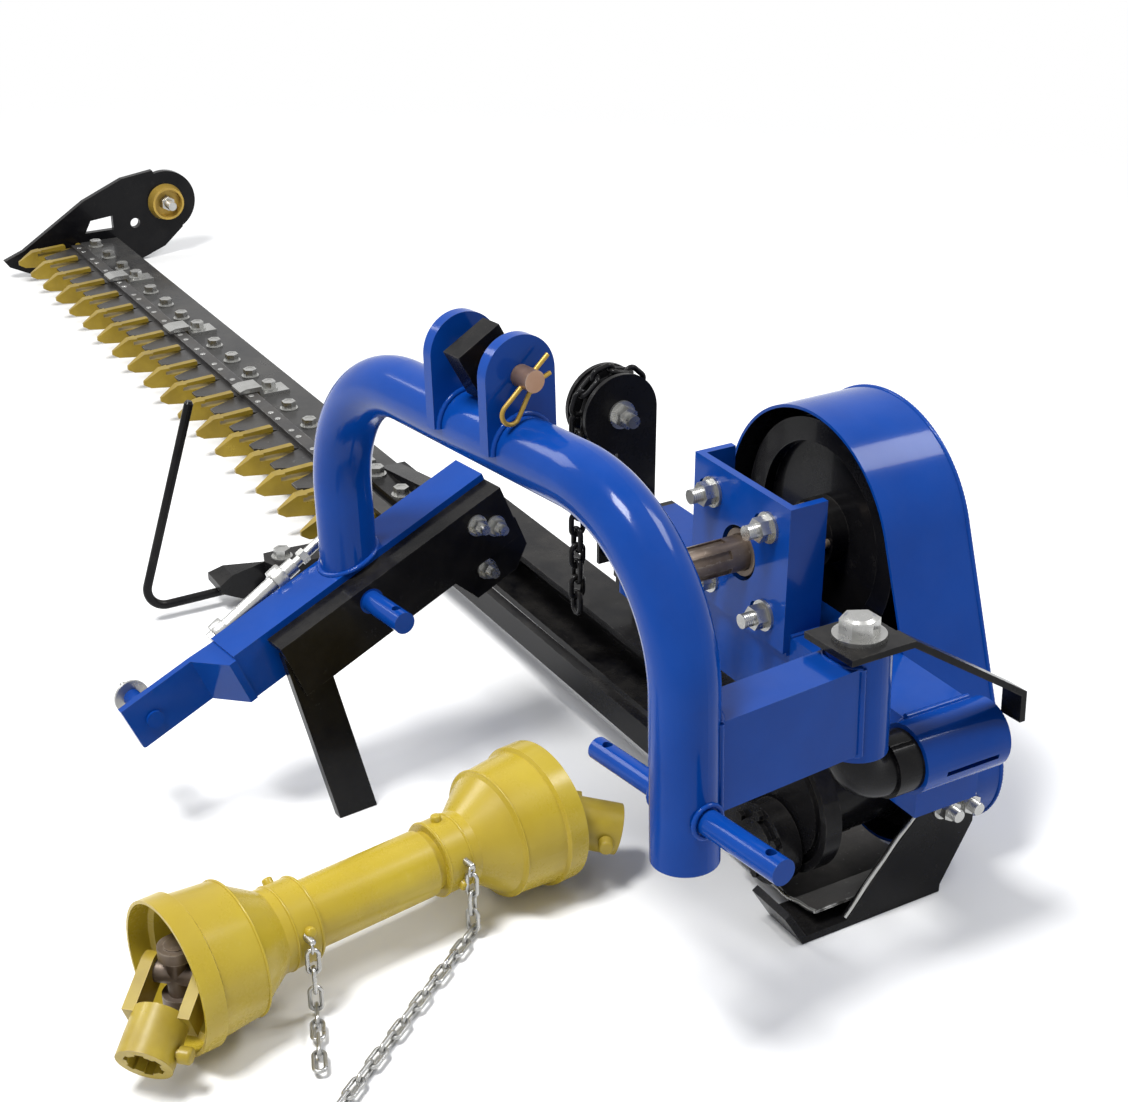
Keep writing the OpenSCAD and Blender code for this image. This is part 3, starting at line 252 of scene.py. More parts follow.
def blank_material(name: str) -> tuple[Material, Sketch]:
    """Returns a new material without nodes, and the sketch of its tree."""
    made = bpy.data.materials.new(name)
    made.use_nodes = True
    made.node_tree.nodes.clear()
    return made, Sketch(made.node_tree)


class Effects:
    """Shader node groups that several finishes share."""

    def __init__(self) -> None:
        """Builds the groups once."""
        self.mottle = self._mottle()
        self.dust = self._dust()
        self.edge = self._edge()

    @staticmethod
    def _group(
        name: str, inputs: dict[str, float], outputs: Iterable[str]
    ) -> tuple[Sketch, Node, Node]:
        """Starts a group.

        Args:
            name: Name of the group.
            inputs: Names and default values of its inputs.
            outputs: Names of its outputs.

        Returns:
            The sketch of the tree, its input node and its output node.
        """
        tree = bpy.data.node_groups.new(name, "ShaderNodeTree")
        kind = "NodeSocketFloat"
        for label, value in inputs.items():
            tree.interface.new_socket(label, in_out="INPUT", socket_type=kind).default_value = value
        for label in outputs:
            tree.interface.new_socket(label, in_out="OUTPUT", socket_type=kind)
        return Sketch(tree), tree.nodes.new("NodeGroupInput"), tree.nodes.new("NodeGroupOutput")

    def _mottle(self) -> Tree:
        """Returns broad and fine noise for colour, roughness and bump."""
        labels = ("Broad", "Fine", "Spots")
        sketch, start, end = self._group("mottle", {"Broad": 9.0, "Fine": 320.0}, labels)
        place = sketch.add("TexCoord").outputs["Object"]
        broad, fine = start.outputs["Broad"], start.outputs["Fine"]
        spots = sketch.math("MULTIPLY", broad, 7.0)
        layers = ((broad, 5.0, 0.55), (fine, 3.0, 0.6), (spots, 8.0, 0.7))
        for label, (scale, detail, rough) in zip(labels, layers):
            sketch.feed(end.inputs[label], sketch.noise(place, scale, detail, rough))
        return sketch.tree

    def _dust(self) -> Tree:
        """Returns a mask of dust that settles on faces turned upwards."""
        sketch, start, end = self._group("settled_dust", {"Amount": 0.5}, ("Mask",))
        where = sketch.add("TexCoord")
        up = sketch.add("SeparateXYZ", {"Vector": where.outputs["Normal"]}).outputs["Z"]
        patch = sketch.noise(where.outputs["Object"], 22.0, 7.0, 0.68)
        lie = sketch.span(up, -0.2, 1.0, 0.12, 1.0)
        cover = sketch.math("MULTIPLY", lie, sketch.span(patch, 0.36, 0.72))
        mask = sketch.math("MULTIPLY", cover, start.outputs["Amount"], clamp=True)
        sketch.feed(end.inputs["Mask"], mask)
        return sketch.tree

    def _edge(self) -> Tree:
        """Returns a broken mask along sharp edges, for wear and for a painted highlight on them."""
        sketch, start, end = self._group("edge_wear_and_highlight", {"Radius": 0.0025}, ("WornAndLit",))
        flat = sketch.add("NewGeometry").outputs["Normal"]
        soft = sketch.add("Bevel", {"Radius": start.outputs["Radius"]}, samples=6).outputs["Normal"]
        near = sketch.add("VectorMath", {0: flat, 1: soft}, operation="DOT_PRODUCT")
        # The edge mask marks wear and also a painted highlight along the edges.
        rim = sketch.span(near.outputs["Value"], 0.995, 0.86)
        place = sketch.add("TexCoord").outputs["Object"]
        patch = sketch.noise(place, 60.0, 6.0, 0.7)
        worn_and_lit = sketch.math("MULTIPLY", rim, sketch.span(patch, 0.46, 0.6), clamp=True)
        sketch.feed(end.inputs["WornAndLit"], worn_and_lit)
        return sketch.tree


@dataclass(frozen=True)
class Finish:
    """One surface finish of the mower.

    The base colour drifts towards the second colour, dust settles on top of it, and edges
    wear through to the bare colour, which also paints a highlight along them.
    """

    name: str
    base: Color
    drift: Color
    # Bare colour of chips and worn edges; along the edges it is also a painted highlight.
    bare_and_edge_light: Color
    dust: Color = (0.34, 0.31, 0.26)
    dust_amount: float = 0.3
    dust_rough: float = 0.35
    metal: float = 0.0
    bare_metal: float = 0.6
    rough: Pair = (0.25, 0.42)
    grain_rough: float = 0.12
    specular: float = 0.35
    coat: float = 0.0
    coat_rough: float = 0.06
    edge_radius: float = 0.0022
    edge_amount: float = 0.6
    broad: float = 9.0
    fine: float = 320.0
    bump: float = 0.08
    bump_depth: float = 0.0004
    spots: Pair = (0.62, 0.72)
    spot_amount: float = 0.35
    hollow: Optional[Point] = None
    hollow_blur: float = 0.0004
    lining: Color = (0.010, 0.010, 0.011)

    def build(self, effects: Effects) -> Material:
        """Builds the material.

        Args:
            effects: The shared node groups.

        Returns:
            The new material.
        """
        made, sketch = blank_material(self.name)
        scales = {"in_Broad": self.broad, "in_Fine": self.fine}
        broad, fine, specks = sketch.add("Group", node_tree=effects.mottle, **scales).outputs
        dust = sketch.add("Group", node_tree=effects.dust, in_Amount=self.dust_amount).outputs[0]
        edge = sketch.add("Group", node_tree=effects.edge, in_Radius=self.edge_radius).outputs[0]
        spots = sketch.span(specks, *self.spots, 0.0, self.spot_amount)
        # Edges blend to the bare colour: worn paint, and a painted highlight along them.
        worn_and_lit = sketch.math("MULTIPLY", edge, self.edge_amount, clamp=True)
        color = sketch.blend(sketch.span(broad, 0.32, 0.70), self.base, self.drift)
        color = sketch.blend(spots, color, self.bare_and_edge_light)
        color = sketch.blend(worn_and_lit, color, self.bare_and_edge_light)
        if self.hollow:
            color = sketch.blend(self._inside(sketch), color, self.lining)
        color = sketch.blend(dust, color, self.dust)
        rough = sketch.span(broad, 0.3, 0.7, *self.rough)
        grain = sketch.math("SUBTRACT", fine, 0.5)
        for mask, amount in ((dust, self.dust_rough), (grain, self.grain_rough)):
            rough = sketch.math("ADD", rough, sketch.math("MULTIPLY", mask, amount), clamp=True)
        bared = sketch.math("MULTIPLY", worn_and_lit, self.bare_metal - self.metal)
        metal = sketch.math("ADD", self.metal, bared, clamp=True)
        metal = sketch.math("MULTIPLY", metal, sketch.math("SUBTRACT", 1.0, dust), clamp=True)
        bump = sketch.add(
            "Bump", {"Height": fine}, in_Strength=self.bump, in_Distance=self.bump_depth
        ).outputs["Normal"]
        shader = sketch.add(
            "BsdfPrincipled",
            {"Base Color": color, "Roughness": rough, "Metallic": metal, "Normal": bump},
            in_Specular_IOR_Level=self.specular,
            in_Coat_Weight=self.coat,
            in_Coat_Roughness=self.coat_rough,
        )
        sketch.add("OutputMaterial", {"Surface": shader.outputs[0]})
        return made

    def _inside(self, sketch: Sketch) -> Socket:
        """Returns a mask of the faces that look at the point inside the node.

        Args:
            sketch: The tree of the material.

        Returns:
            A socket that is 1 on the inner faces.
        """
        where = sketch.add("TexCoord").outputs
        away = sketch.add("VectorMath", {0: where["Object"]}, operation="SUBTRACT")
        sketch.feed(away.inputs[1], self.hollow)
        ends = {0: where["Normal"], 1: away.outputs["Vector"]}
        facing = sketch.add("VectorMath", ends, operation="DOT_PRODUCT").outputs["Value"]
        return sketch.span(facing, self.hollow_blur, -self.hollow_blur)


FINISHES: dict[Slot, Finish] = {
    # The bare colour of the blue is a lighter blue, which paints a highlight on its edges.
    Slot.BLUE: Finish(
        "blue_enamel", (0.001, 0.047, 0.275), (0.001, 0.037, 0.225), (0.03, 0.09, 0.27),
        specular=0.07, rough=(0.11, 0.2), coat=0.14, dust_amount=0.02, edge_amount=0.35,
        spot_amount=0.08, spots=(0.66, 0.76),
    ),
    Slot.BLACK: Finish(
        "black_enamel", (0.003, 0.003, 0.004), (0.006, 0.006, 0.007), (0.07, 0.065, 0.06),
        specular=0.07, rough=(0.16, 0.3), coat=0.08, dust_amount=0.05, spot_amount=0.14,
        edge_amount=0.45,
    ),
    Slot.ZINC: Finish(
        "zinc_plate", (0.47, 0.47, 0.46), (0.36, 0.36, 0.345), (0.6, 0.6, 0.58),
        metal=0.95, bare_metal=1.0, rough=(0.2, 0.38), dust_amount=0.08, broad=40.0,
        spot_amount=0.3,
    ),
    Slot.GOLD: Finish(
        "gold_enamel", (0.48, 0.315, 0.05), (0.34, 0.215, 0.032), (0.36, 0.28, 0.14),
        metal=0.3, bare_metal=0.8, rough=(0.26, 0.44), dust_amount=0.1, broad=24.0,
        spot_amount=0.25,
    ),
    Slot.WORN: Finish(
        "worn_steel", (0.105, 0.076, 0.056), (0.2, 0.16, 0.13), (0.46, 0.4, 0.34),
        metal=0.6, bare_metal=0.95, rough=(0.32, 0.54), broad=30.0, bump=0.18, spot_amount=0.5,
        dust_amount=0.1,
    ),
    Slot.KNIFE: Finish(
        "knife_steel", (0.036, 0.036, 0.04), (0.062, 0.058, 0.054), (0.36, 0.36, 0.36),
        metal=0.8, bare_metal=1.0, rough=(0.28, 0.46), broad=20.0, edge_amount=0.8,
        dust_amount=0.12,
    ),
    Slot.RUBBER: Finish(
        "belt_rubber", (0.01, 0.01, 0.01), (0.016, 0.015, 0.015), (0.02, 0.02, 0.02),
        bare_metal=0.0, rough=(0.6, 0.78), bump=0.25, dust_amount=0.15,
    ),
    Slot.PLASTIC: Finish(
        "yellow_plastic", (0.46, 0.345, 0.028), (0.37, 0.265, 0.019), (0.56, 0.44, 0.12),
        bare_metal=0.0, rough=(0.2, 0.34), dust=(0.3, 0.22, 0.1), dust_amount=0.12,
        spot_amount=0.2, bump=0.1,
    ),
    Slot.YELLOW: Finish(
        "yellow_enamel", (0.4, 0.295, 0.024), (0.3, 0.212, 0.015), (0.2, 0.15, 0.08),
        rough=(0.26, 0.44), dust_amount=0.12, broad=30.0, spot_amount=0.3,
    ),
}

NODE_FINISHES: dict[str, Finish] = {
    "guards": replace(
        FINISHES[Slot.GOLD], name="guard_enamel", base=(0.32, 0.222, 0.018),
        drift=(0.22, 0.148, 0.012),
    ),
    "belt_cover": replace(FINISHES[Slot.BLUE], name="cover_enamel", hollow=(0.9, 0.355, 0.2)),
    "bar_plate": replace(
        FINISHES[Slot.BLACK], name="bar_enamel", base=(0.03, 0.03, 0.031),
        drift=(0.05, 0.049, 0.047),
    ),
    "top_link_pin": replace(
        FINISHES[Slot.WORN], name="pin_steel", base=(0.33, 0.19, 0.12),
        drift=(0.43, 0.28, 0.2), metal=0.85, rough=(0.26, 0.42),
    ),
    # The pan's edges go near white along their whole length: partly wear, partly a painted
    # highlight on the edges.
    "base_pan": replace(
        FINISHES[Slot.KNIFE], name="pan_steel", base=(0.03, 0.028, 0.027),
        drift=(0.055, 0.05, 0.046), bare_and_edge_light=(0.72, 0.72, 0.7), edge_radius=0.0035, edge_amount=1.0,
    ),
}


class Studio:
    """Floor, lamps, sky and the camera of the photograph."""

    camera_at = (2164.4, -724.1, 1104.1)
    heading = 149.92
    pitch = -26.40
    focal_px = 1899.3
    photo_width_px = 1128.0
    sensor = 36.0
    far_clip = 200.0
    floor_size = 60.0
    floor_z = -0.0006
    fade = (1.1, 2.6)
    sky = (0.33, 0.34, 0.37)
    white = (1.0, 1.0, 1.0)

    def build(self) -> None:
        """Makes the floor, the lamps, the sky and the camera."""
        self._floor()
        self._lamp("key", (1.0, -1.6, 4.2), (0.5, 0.1, 0.2), 1.1, 205.0)
        self._lamp("fill", (-2.6, -2.2, 3.2), (-0.4, 0.2, 0.1), 1.6, 80.0)
        self._lamp("back", (1.4, 3.0, 3.6), (0.5, 0.2, 0.2), 1.4, 95.0)
        self._sky()
        self._camera()

    def _floor(self) -> None:
        """Lays a pale floor that keeps the shadow."""
        bpy.ops.object.select_all(action="DESELECT")
        bpy.ops.mesh.primitive_plane_add(size=self.floor_size, location=(0, 0, self.floor_z))
        floor = bpy.context.object
        floor.name = "studio_floor"
        made, sketch = blank_material("studio_floor")
        place = sketch.add("TexCoord").outputs["Object"]
        color = sketch.blend(sketch.noise(place, 3.0, 6.0), (0.86, 0.86, 0.85), (0.90, 0.90, 0.89))
        reach = sketch.add("VectorMath", {0: place}, operation="LENGTH").outputs["Value"]
        seen = sketch.math("MULTIPLY", sketch.span(reach, *self.fade), self._seen(sketch))
        shader = sketch.add("BsdfPrincipled", {"Base Color": color}, in_Roughness=0.9)
        white = sketch.add("Emission", in_Color=(*self.white, 1.0), in_Strength=1.0)
        fade = sketch.add("MixShader", {0: seen, 1: shader.outputs[0], 2: white.outputs[0]})
        sketch.add("OutputMaterial", {"Surface": fade.outputs[0]})
        floor.data.materials.append(made)

    @staticmethod
    def _lamp(name: str, at: Point, aim: Point, size: float, watts: float) -> None:
        """Hangs one soft lamp.

        Args:
            name: Name of the lamp.
            at: Its place in metres.
            aim: The point that it shines on.
            size: Side of its square in metres.
            watts: Its power.
        """
        data = bpy.data.lights.new(name, "AREA")
        data.energy = watts
        data.size = size
        lamp = bpy.data.objects.new(name, data)
        lamp.location = at
        lamp.rotation_euler = (Vector(aim) - Vector(at)).to_track_quat("-Z", "Y").to_euler()
        bpy.context.scene.collection.objects.link(lamp)

    @staticmethod
    def _seen(sketch: Sketch) -> Socket:
        """Returns a mask of the rays that see the backdrop directly or mirrored.

        Args:
            sketch: The tree of the floor or the sky.

        Returns:
            A socket that is 1 for such rays.
        """
        rays = sketch.add("LightPath").outputs
        mirrored = sketch.math("MAXIMUM", rays["Is Glossy Ray"], rays["Is Transmission Ray"])
        return sketch.math("MAXIMUM", rays["Is Camera Ray"], mirrored)

    def _sky(self) -> None:
        """Sets an even pale sky that is seen as white."""
        world = bpy.data.worlds.new("sky")
        world.use_nodes = True
        sketch = Sketch(world.node_tree)
        color = sketch.blend(self._seen(sketch), self.sky, self.white)
        sketch.feed(world.node_tree.nodes["Background"].inputs["Color"], color)
        bpy.context.scene.world = world

    def _camera(self) -> None:
        """Places the camera where the photograph was taken."""
        data = bpy.data.cameras.new("camera")
        data.sensor_fit = "HORIZONTAL"
        data.sensor_width = self.sensor
        data.lens = self.sensor * self.focal_px / self.photo_width_px
        data.clip_end = self.far_clip
        camera = bpy.data.objects.new("camera", data)
        way, tilt = math.radians(self.heading), math.radians(self.pitch)
        flat = math.cos(tilt)
        ahead = Vector((flat * math.cos(way), flat * math.sin(way), math.sin(tilt)))
        stand = ahead.to_track_quat("-Z", "Y").to_matrix().to_4x4()
        camera.matrix_world = Matrix.Translation(Vector(self.camera_at) * MM) @ stand
        bpy.context.scene.collection.objects.link(camera)
        bpy.context.scene.camera = camera
        bpy.context.scene.view_settings.view_transform = "Standard"


class Bench:
    """Models small pieces with operators and fixes them to a body."""

    def __init__(self, coats: dict[Slot, Material]) -> None:
        """Keeps the finished materials.

        Args:
            coats: One material for each slot.
        """
        self.coats = coats

    @staticmethod
    def mode(name: str) -> None:
        """Switches to EDIT or OBJECT mode."""
        bpy.ops.object.mode_set(mode=name)

    @staticmethod
    def settle() -> None:
        """Writes the place of the selected piece into its mesh."""
        bpy.ops.object.transform_apply(location=True, rotation=True, scale=True)

    def clear(self) -> None:
        """Deselects everything in object mode."""
        if bpy.context.object and bpy.context.object.mode != "OBJECT":
            self.mode("OBJECT")
        bpy.ops.object.select_all(action="DESELECT")

    def pick(self, piece: Piece, kind: str, wanted: Callable[[Any], bool]) -> None:
        """Enters edit mode with only some of a piece's elements selected.

        Args:
            piece: The piece, in object mode.
            kind: VERT, EDGE or FACE.
            wanted: Says whether an element is selected.
        """
        self.mode("EDIT")
        bpy.ops.mesh.select_mode(type=kind)
        bpy.ops.mesh.select_all(action="DESELECT")
        self.mode("OBJECT")
        mesh = piece.data
        items = {"VERT": mesh.vertices, "EDGE": mesh.edges, "FACE": mesh.polygons}[kind]
        for item in items:
            item.select = wanted(item)
        self.mode("EDIT")

    def bead(
        self, at: Matrix, radius: float, thick: float, sweep: float = 360.0, start: float = 0.0
    ) -> Piece:
        """Lays a rippled weld bead around the Z axis of a place.

        Args:
            at: The place.
            radius: Radius of the bead.
            thick: Thickness of the bead.
            sweep: Angle of the bead.
            start: Angle of its first end.

        Returns:
            The placed bead.
        """
        length = math.radians(sweep) * radius
        steps = max(8, int(length / (thick * RIPPLE_PITCH)) // 2 * 2)
        piece = self.hoop(radius, thick, 8, steps, -sweep)

        def low(vertex: bpy.types.MeshVertex) -> bool:
            """Says whether a vertex lies between two ripples."""
            angle = math.degrees(math.atan2(vertex.co.y, vertex.co.x)) % 360.0
            return round(angle / sweep * steps) % 2 == 1

        self.pick(piece, "VERT", low)
        bpy.ops.transform.shrink_fatten(value=-thick * RIPPLE_DEPTH)
        self.mode("OBJECT")
        return self.place(piece, at @ turn(start, "Z"))

    def seam(self, at: Matrix, length: float, thick: float) -> Piece:
        """Lays a rippled weld bead along the Z axis of a place.

        Args:
            at: The place.
            length: Length.
            thick: Thickness.

        Returns:
            The placed bead.
        """
        return self.place(self.stud(length, thick, thick * RIPPLE_PITCH, 10, 0.92), at)

    def stud(
        self, length: float, thick: float, pitch: float, sides: int = 20, waist: float = 0.93
    ) -> Piece:
        """Stacks ripples up the Z axis, as the thread of a bolt or as a bead.

        Args:
            length: Length.
            thick: Thickness.
            pitch: Height of one step.
            sides: Number of sides.
            waist: Share of the thickness between two ripples.

        Returns:
            The stack at the origin.
        """
        self.clear()
        steps = max(4, int(length / pitch))
        rise = length / steps
        bpy.ops.mesh.primitive_cylinder_add(
            vertices=sides, radius=thick / 2, depth=rise, location=(0, 0, rise / 2)
        )
        piece = bpy.context.object
        self.settle()
        for step in range(1, steps):
            top = step * length / steps
            self.pick(
                piece, "FACE", lambda face: face.normal.z > 0.9 and abs(face.center.z - top) < 0.01
            )
            bpy.ops.mesh.extrude_region_move(TRANSFORM_OT_translate={"value": (0, 0, rise)})
            grow = waist if step % 2 else 1.0 / waist
            bpy.ops.transform.resize(value=(grow, grow, 1.0))
            self.mode("OBJECT")
        return piece

    def button(self, radius: float, height: float, sides: int, bevel: float = 0.4) -> Piece:
        """Models a domed head on the Z axis.

        Args:
            radius: Radius.
            height: Height.
            sides: Number of sides.
            bevel: Share of the height that the rim is rounded over.

        Returns:
            The head with its foot at the origin.
        """
        self.clear()
        bpy.ops.mesh.primitive_cylinder_add(
            vertices=sides, radius=radius, depth=height, location=(0, 0, height / 2)
        )
        piece = bpy.context.object
        self.settle()
        points, rim = piece.data.vertices, height * 0.9
        self.pick(piece, "EDGE", lambda edge: min(points[i].co.z for i in edge.vertices) > rim)
        bpy.ops.mesh.bevel(offset=height * bevel, segments=3, profile=0.5)
        self.mode("OBJECT")
        return piece

    def collar(self, bore: float, radius: float, height: float) -> Piece:
        """Turns a bevelled ring on the Z axis.

        Args:
            bore: Inner radius.
            radius: Outer radius.
            height: Height.

        Returns:
            The ring with its foot at the origin.
        """
        self.clear()
        wide = radius - bore
        bpy.ops.mesh.primitive_plane_add(size=1.0)
        piece = bpy.context.object
        stretch = Matrix.Diagonal((wide, 1, height, 1))
        piece.matrix_world = move(bore + wide / 2, 0, height / 2) @ stretch @ turn(90, "X")
        return self._spun(piece, min(wide, height) * 0.18)

    def hoop(
        self, radius: float, thick: float, sides: int = 10, steps: int = 72, sweep: float = 360.0
    ) -> Piece:
        """Turns a round ring bead about the Z axis.

        Args:
            radius: Radius of its centre line.
            thick: Thickness.
            sides: Number of sides of its section.
            steps: Number of steps round the axis.
            sweep: Angle.

        Returns:
            The bead at the origin.
        """
        self.clear()
        bpy.ops.mesh.primitive_circle_add(
            vertices=sides, radius=thick / 2, location=(radius, 0, 0), rotation=(math.pi / 2, 0, 0)
        )
        return self._spun(bpy.context.object, 0.0, steps, sweep)

    def link(self, thick: float, width: float, length: float) -> Piece:
        """Stretches a ring to an oval chain link in the XZ plane.

        Args:
            thick: Thickness of the wire.
            width: Outer width.
            length: Outer length.

        Returns:
            The link at the origin, its long axis along Z.
        """
        piece = self.hoop((width - thick) / 2, thick)
        piece.matrix_world = turn(90, "X")
        self.settle()
        for side in (-1, 1):
            self.pick(piece, "VERT", lambda vertex: side * vertex.co.z > 0.01)
            bpy.ops.transform.translate(value=(0, 0, side * (length - width) / 2))
            self.mode("OBJECT")
        return piece

    def trail(self, points: list[Point], thick: float) -> Piece:
        """Draws a round bead through points.

        Args:
            points: Centre line.
            thick: Thickness.

        Returns:
            The closed bead.
        """
        self.clear()
        line = [Vector(point) for point in points]
        facing = (line[1] - line[0]).to_track_quat("Z", "Y").to_euler()
        bpy.ops.mesh.primitive_circle_add(
            vertices=10, radius=thick / 2, fill_type="NGON", location=line[0], rotation=facing
        )
        piece = bpy.context.object
        self.settle()
        self.mode("EDIT")
        bpy.ops.mesh.select_all(action="SELECT")
        for start, end in zip(line, line[1:]):
            bpy.ops.mesh.extrude_region_move(TRANSFORM_OT_translate={"value": end - start})
        bpy.ops.mesh.select_all(action="SELECT")
        bpy.ops.mesh.normals_make_consistent(inside=False)
        self.mode("OBJECT")
        return piece

    def _spun(self, piece: Piece, bevel: float, steps: int = 72, sweep: float = 360.0) -> Piece:
        """Spins a flat outline round the Z axis.

        Args:
            piece: The outline in the XZ plane.
            bevel: Width that its corners are bevelled by.
            steps: Number of steps.
            sweep: Angle.

        Returns:
            The closed piece.
        """
        self.settle()
        self.mode("EDIT")
        bpy.ops.mesh.select_all(action="SELECT")
        if bevel > 0:
            bpy.ops.mesh.bevel(offset=bevel, affect="VERTICES", segments=2)
            bpy.ops.mesh.select_all(action="SELECT")
            bpy.ops.mesh.delete(type="ONLY_FACE")
            bpy.ops.mesh.select_all(action="SELECT")
        axis = (0, 0, math.copysign(1, sweep))
        bpy.ops.mesh.spin(steps=steps, angle=math.radians(abs(sweep)), center=(0, 0, 0), axis=axis)
        bpy.ops.mesh.select_all(action="SELECT")
        bpy.ops.mesh.remove_doubles(threshold=0.01)
        bpy.ops.mesh.fill_holes(sides=8)
        bpy.ops.mesh.normals_make_consistent(inside=False)
        self.mode("OBJECT")
        return piece

    def place(self, piece: Piece, matrix: Matrix) -> Piece:
        """Moves a piece that is modelled in millimetres to its place in metres.

        Args:
            piece: The piece at the origin.
            matrix: Its place.

        Returns:
            The same piece, at the origin and with its place in its mesh.
        """
        self.clear()
        piece.select_set(True)
        bpy.context.view_layer.objects.active = piece
        piece.matrix_world = Matrix.Scale(MM, 4) @ matrix
        self.settle()
        return piece

    def copies(self, piece: Piece, places: Iterable[Matrix]) -> list[Piece]:
        """Copies a modelled piece to several places.

        Args:
            piece: The piece at the origin, which is used up.
            places: The place of each copy.

        Returns:
            The placed copies.
        """
        made = []
        for matrix in places:
            twin = piece.copy()
            twin.data = piece.data.copy()
            bpy.context.scene.collection.objects.link(twin)
            made.append(self.place(twin, matrix))
        bpy.data.objects.remove(piece)
        return made

    def fit(self, pieces: list[Piece], name: str, body: str, slot: Slot, angle: float) -> None:
        """Joins pieces, paints them and fixes them to a body.

        Args:
            pieces: The placed pieces.
            name: Name of the joined piece.
            body: Name of the CAD body.
            slot: Finish of the piece.
            angle: Largest angle that is shaded smooth.
        """
        self.clear()
        for piece in pieces:
            piece.select_set(True)
        bpy.context.view_layer.objects.active = pieces[0]
        if len(pieces) > 1:
            bpy.ops.object.join()
        made = bpy.context.view_layer.objects.active
        made.name = name
        bpy.ops.object.shade_smooth_by_angle(angle=math.radians(angle))
        made.data.materials.clear()
        made.data.materials.append(self.coats[slot])
        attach(made, body)
        LOG.info("fitted %s to %s", name, body)


@dataclass
class Fittings:
    """A group of small pieces that are modelled on one bench."""

    bench: Bench

    def build(self) -> None:
        """Models the pieces and fixes them to their bodies."""
        raise NotImplementedError


@dataclass
class HitchFrame(Fittings):
    """Welds of the arch, its ears and its arms, and the clamps of the tie rod."""

    arch_r: float = 28.5
    arch_top_z: float = 495.0
    ear_gap: float = 72.0
    ear_t: float = 12.0
    ear_mid: float = 8.0
    arm_w: float = 46.0
    arm_z: float = 254.5
    arm_h: float = 80.0
    arm_start: float = 17.0
    arm_end: float = 16.5
    pin_weld_r: float = 14.0
    proud: float = 0.6
    side_h: float = 54.0
    side_w: float = 50.0
    side_front: float = 145.0
    tie_r: float = 8.5
    tie_z: float = 16.0
    tie_rise: float = 8.0
    tie_clamps: Pair = (6.0, 84.0)
    clamp_len: float = 14.0

    def build(self) -> None:
        """Models the welds and the clamps and fixes them to the hitch frame."""
        hitch, leg = LAYOUT.hitch(), LAYOUT.leg_x
        welds = []
        across = turn(90, "Y")
        for side in (-1, 1):
            for face in (0, self.ear_t):
                x = self.ear_mid + side * (self.ear_gap / 2 + face)
                at = hitch @ move(x, 0, self.arch_top_z) @ across
                welds.append(self.bench.bead(at, self.arch_r + 1.0, WELD_D, 180.0, 90.0))
        for side in (-1, 1):
            for y in (self.arm_start, LAYOUT.pivot_y - self.arm_end):
                at = hitch @ move(leg + side * self.arm_w / 2, y, self.arm_z)
                welds.append(self.bench.seam(at, self.arm_h, WELD_D))
        around = self.arch_r + self.proud
        reach = math.degrees(math.asin(self.arm_w / 2 / self.arch_r))
        for z in (self.arm_z, self.arm_z + self.arm_h):
            for y, face in ((0.0, 90.0), (LAYOUT.pivot_y, 270.0)):
                at = hitch @ move(leg, y, z)
                welds.append(self.bench.bead(at, around, THIN_WELD_D, 2 * reach, face - reach))
        for x in (-self.arch_r, self.arch_r):
            at = hitch @ move(leg + x, 0, LAYOUT.pin_z) @ across
            welds.append(self.bench.bead(at, self.pin_weld_r, THIN_WELD_D))
        pitch = math.radians(LAYOUT.side_pitch)
        lie = Matrix.Diagonal((1.0, 1.0 / math.cos(pitch), 1.0, 1.0))
        spot = move(0, self.side_h / 2 * math.tan(pitch), self.side_h / 2)
        welds.append(self.bench.bead(LAYOUT.arm() @ spot @ lie, around, WELD_D))
        self.bench.fit(welds, "hitch_welds", "hitch_frame", Slot.BLUE, WELD_SMOOTH)
        self._clamps()

    def _clamps(self) -> None:
        """Clamps the tie rod to the side arm."""
        x = -self.arch_r - self.tie_r - 1.0
        reach = -x - self.side_w / 2 + 0.2
        foot = LAYOUT.arm() @ move(x, 2.0 - self.side_front, self.tie_z) @ turn(self.tie_rise, "X")
        places = [foot @ move(0, along, 0) @ turn(-90, "X") for along in self.tie_clamps]
        clamp = self.bench.collar(self.tie_r + 0.1, reach, self.clamp_len)
        clamps = self.bench.copies(clamp, places)
        self.bench.fit(clamps, "tie_rod_clamps", "hitch_frame", Slot.ZINC, 30.0)


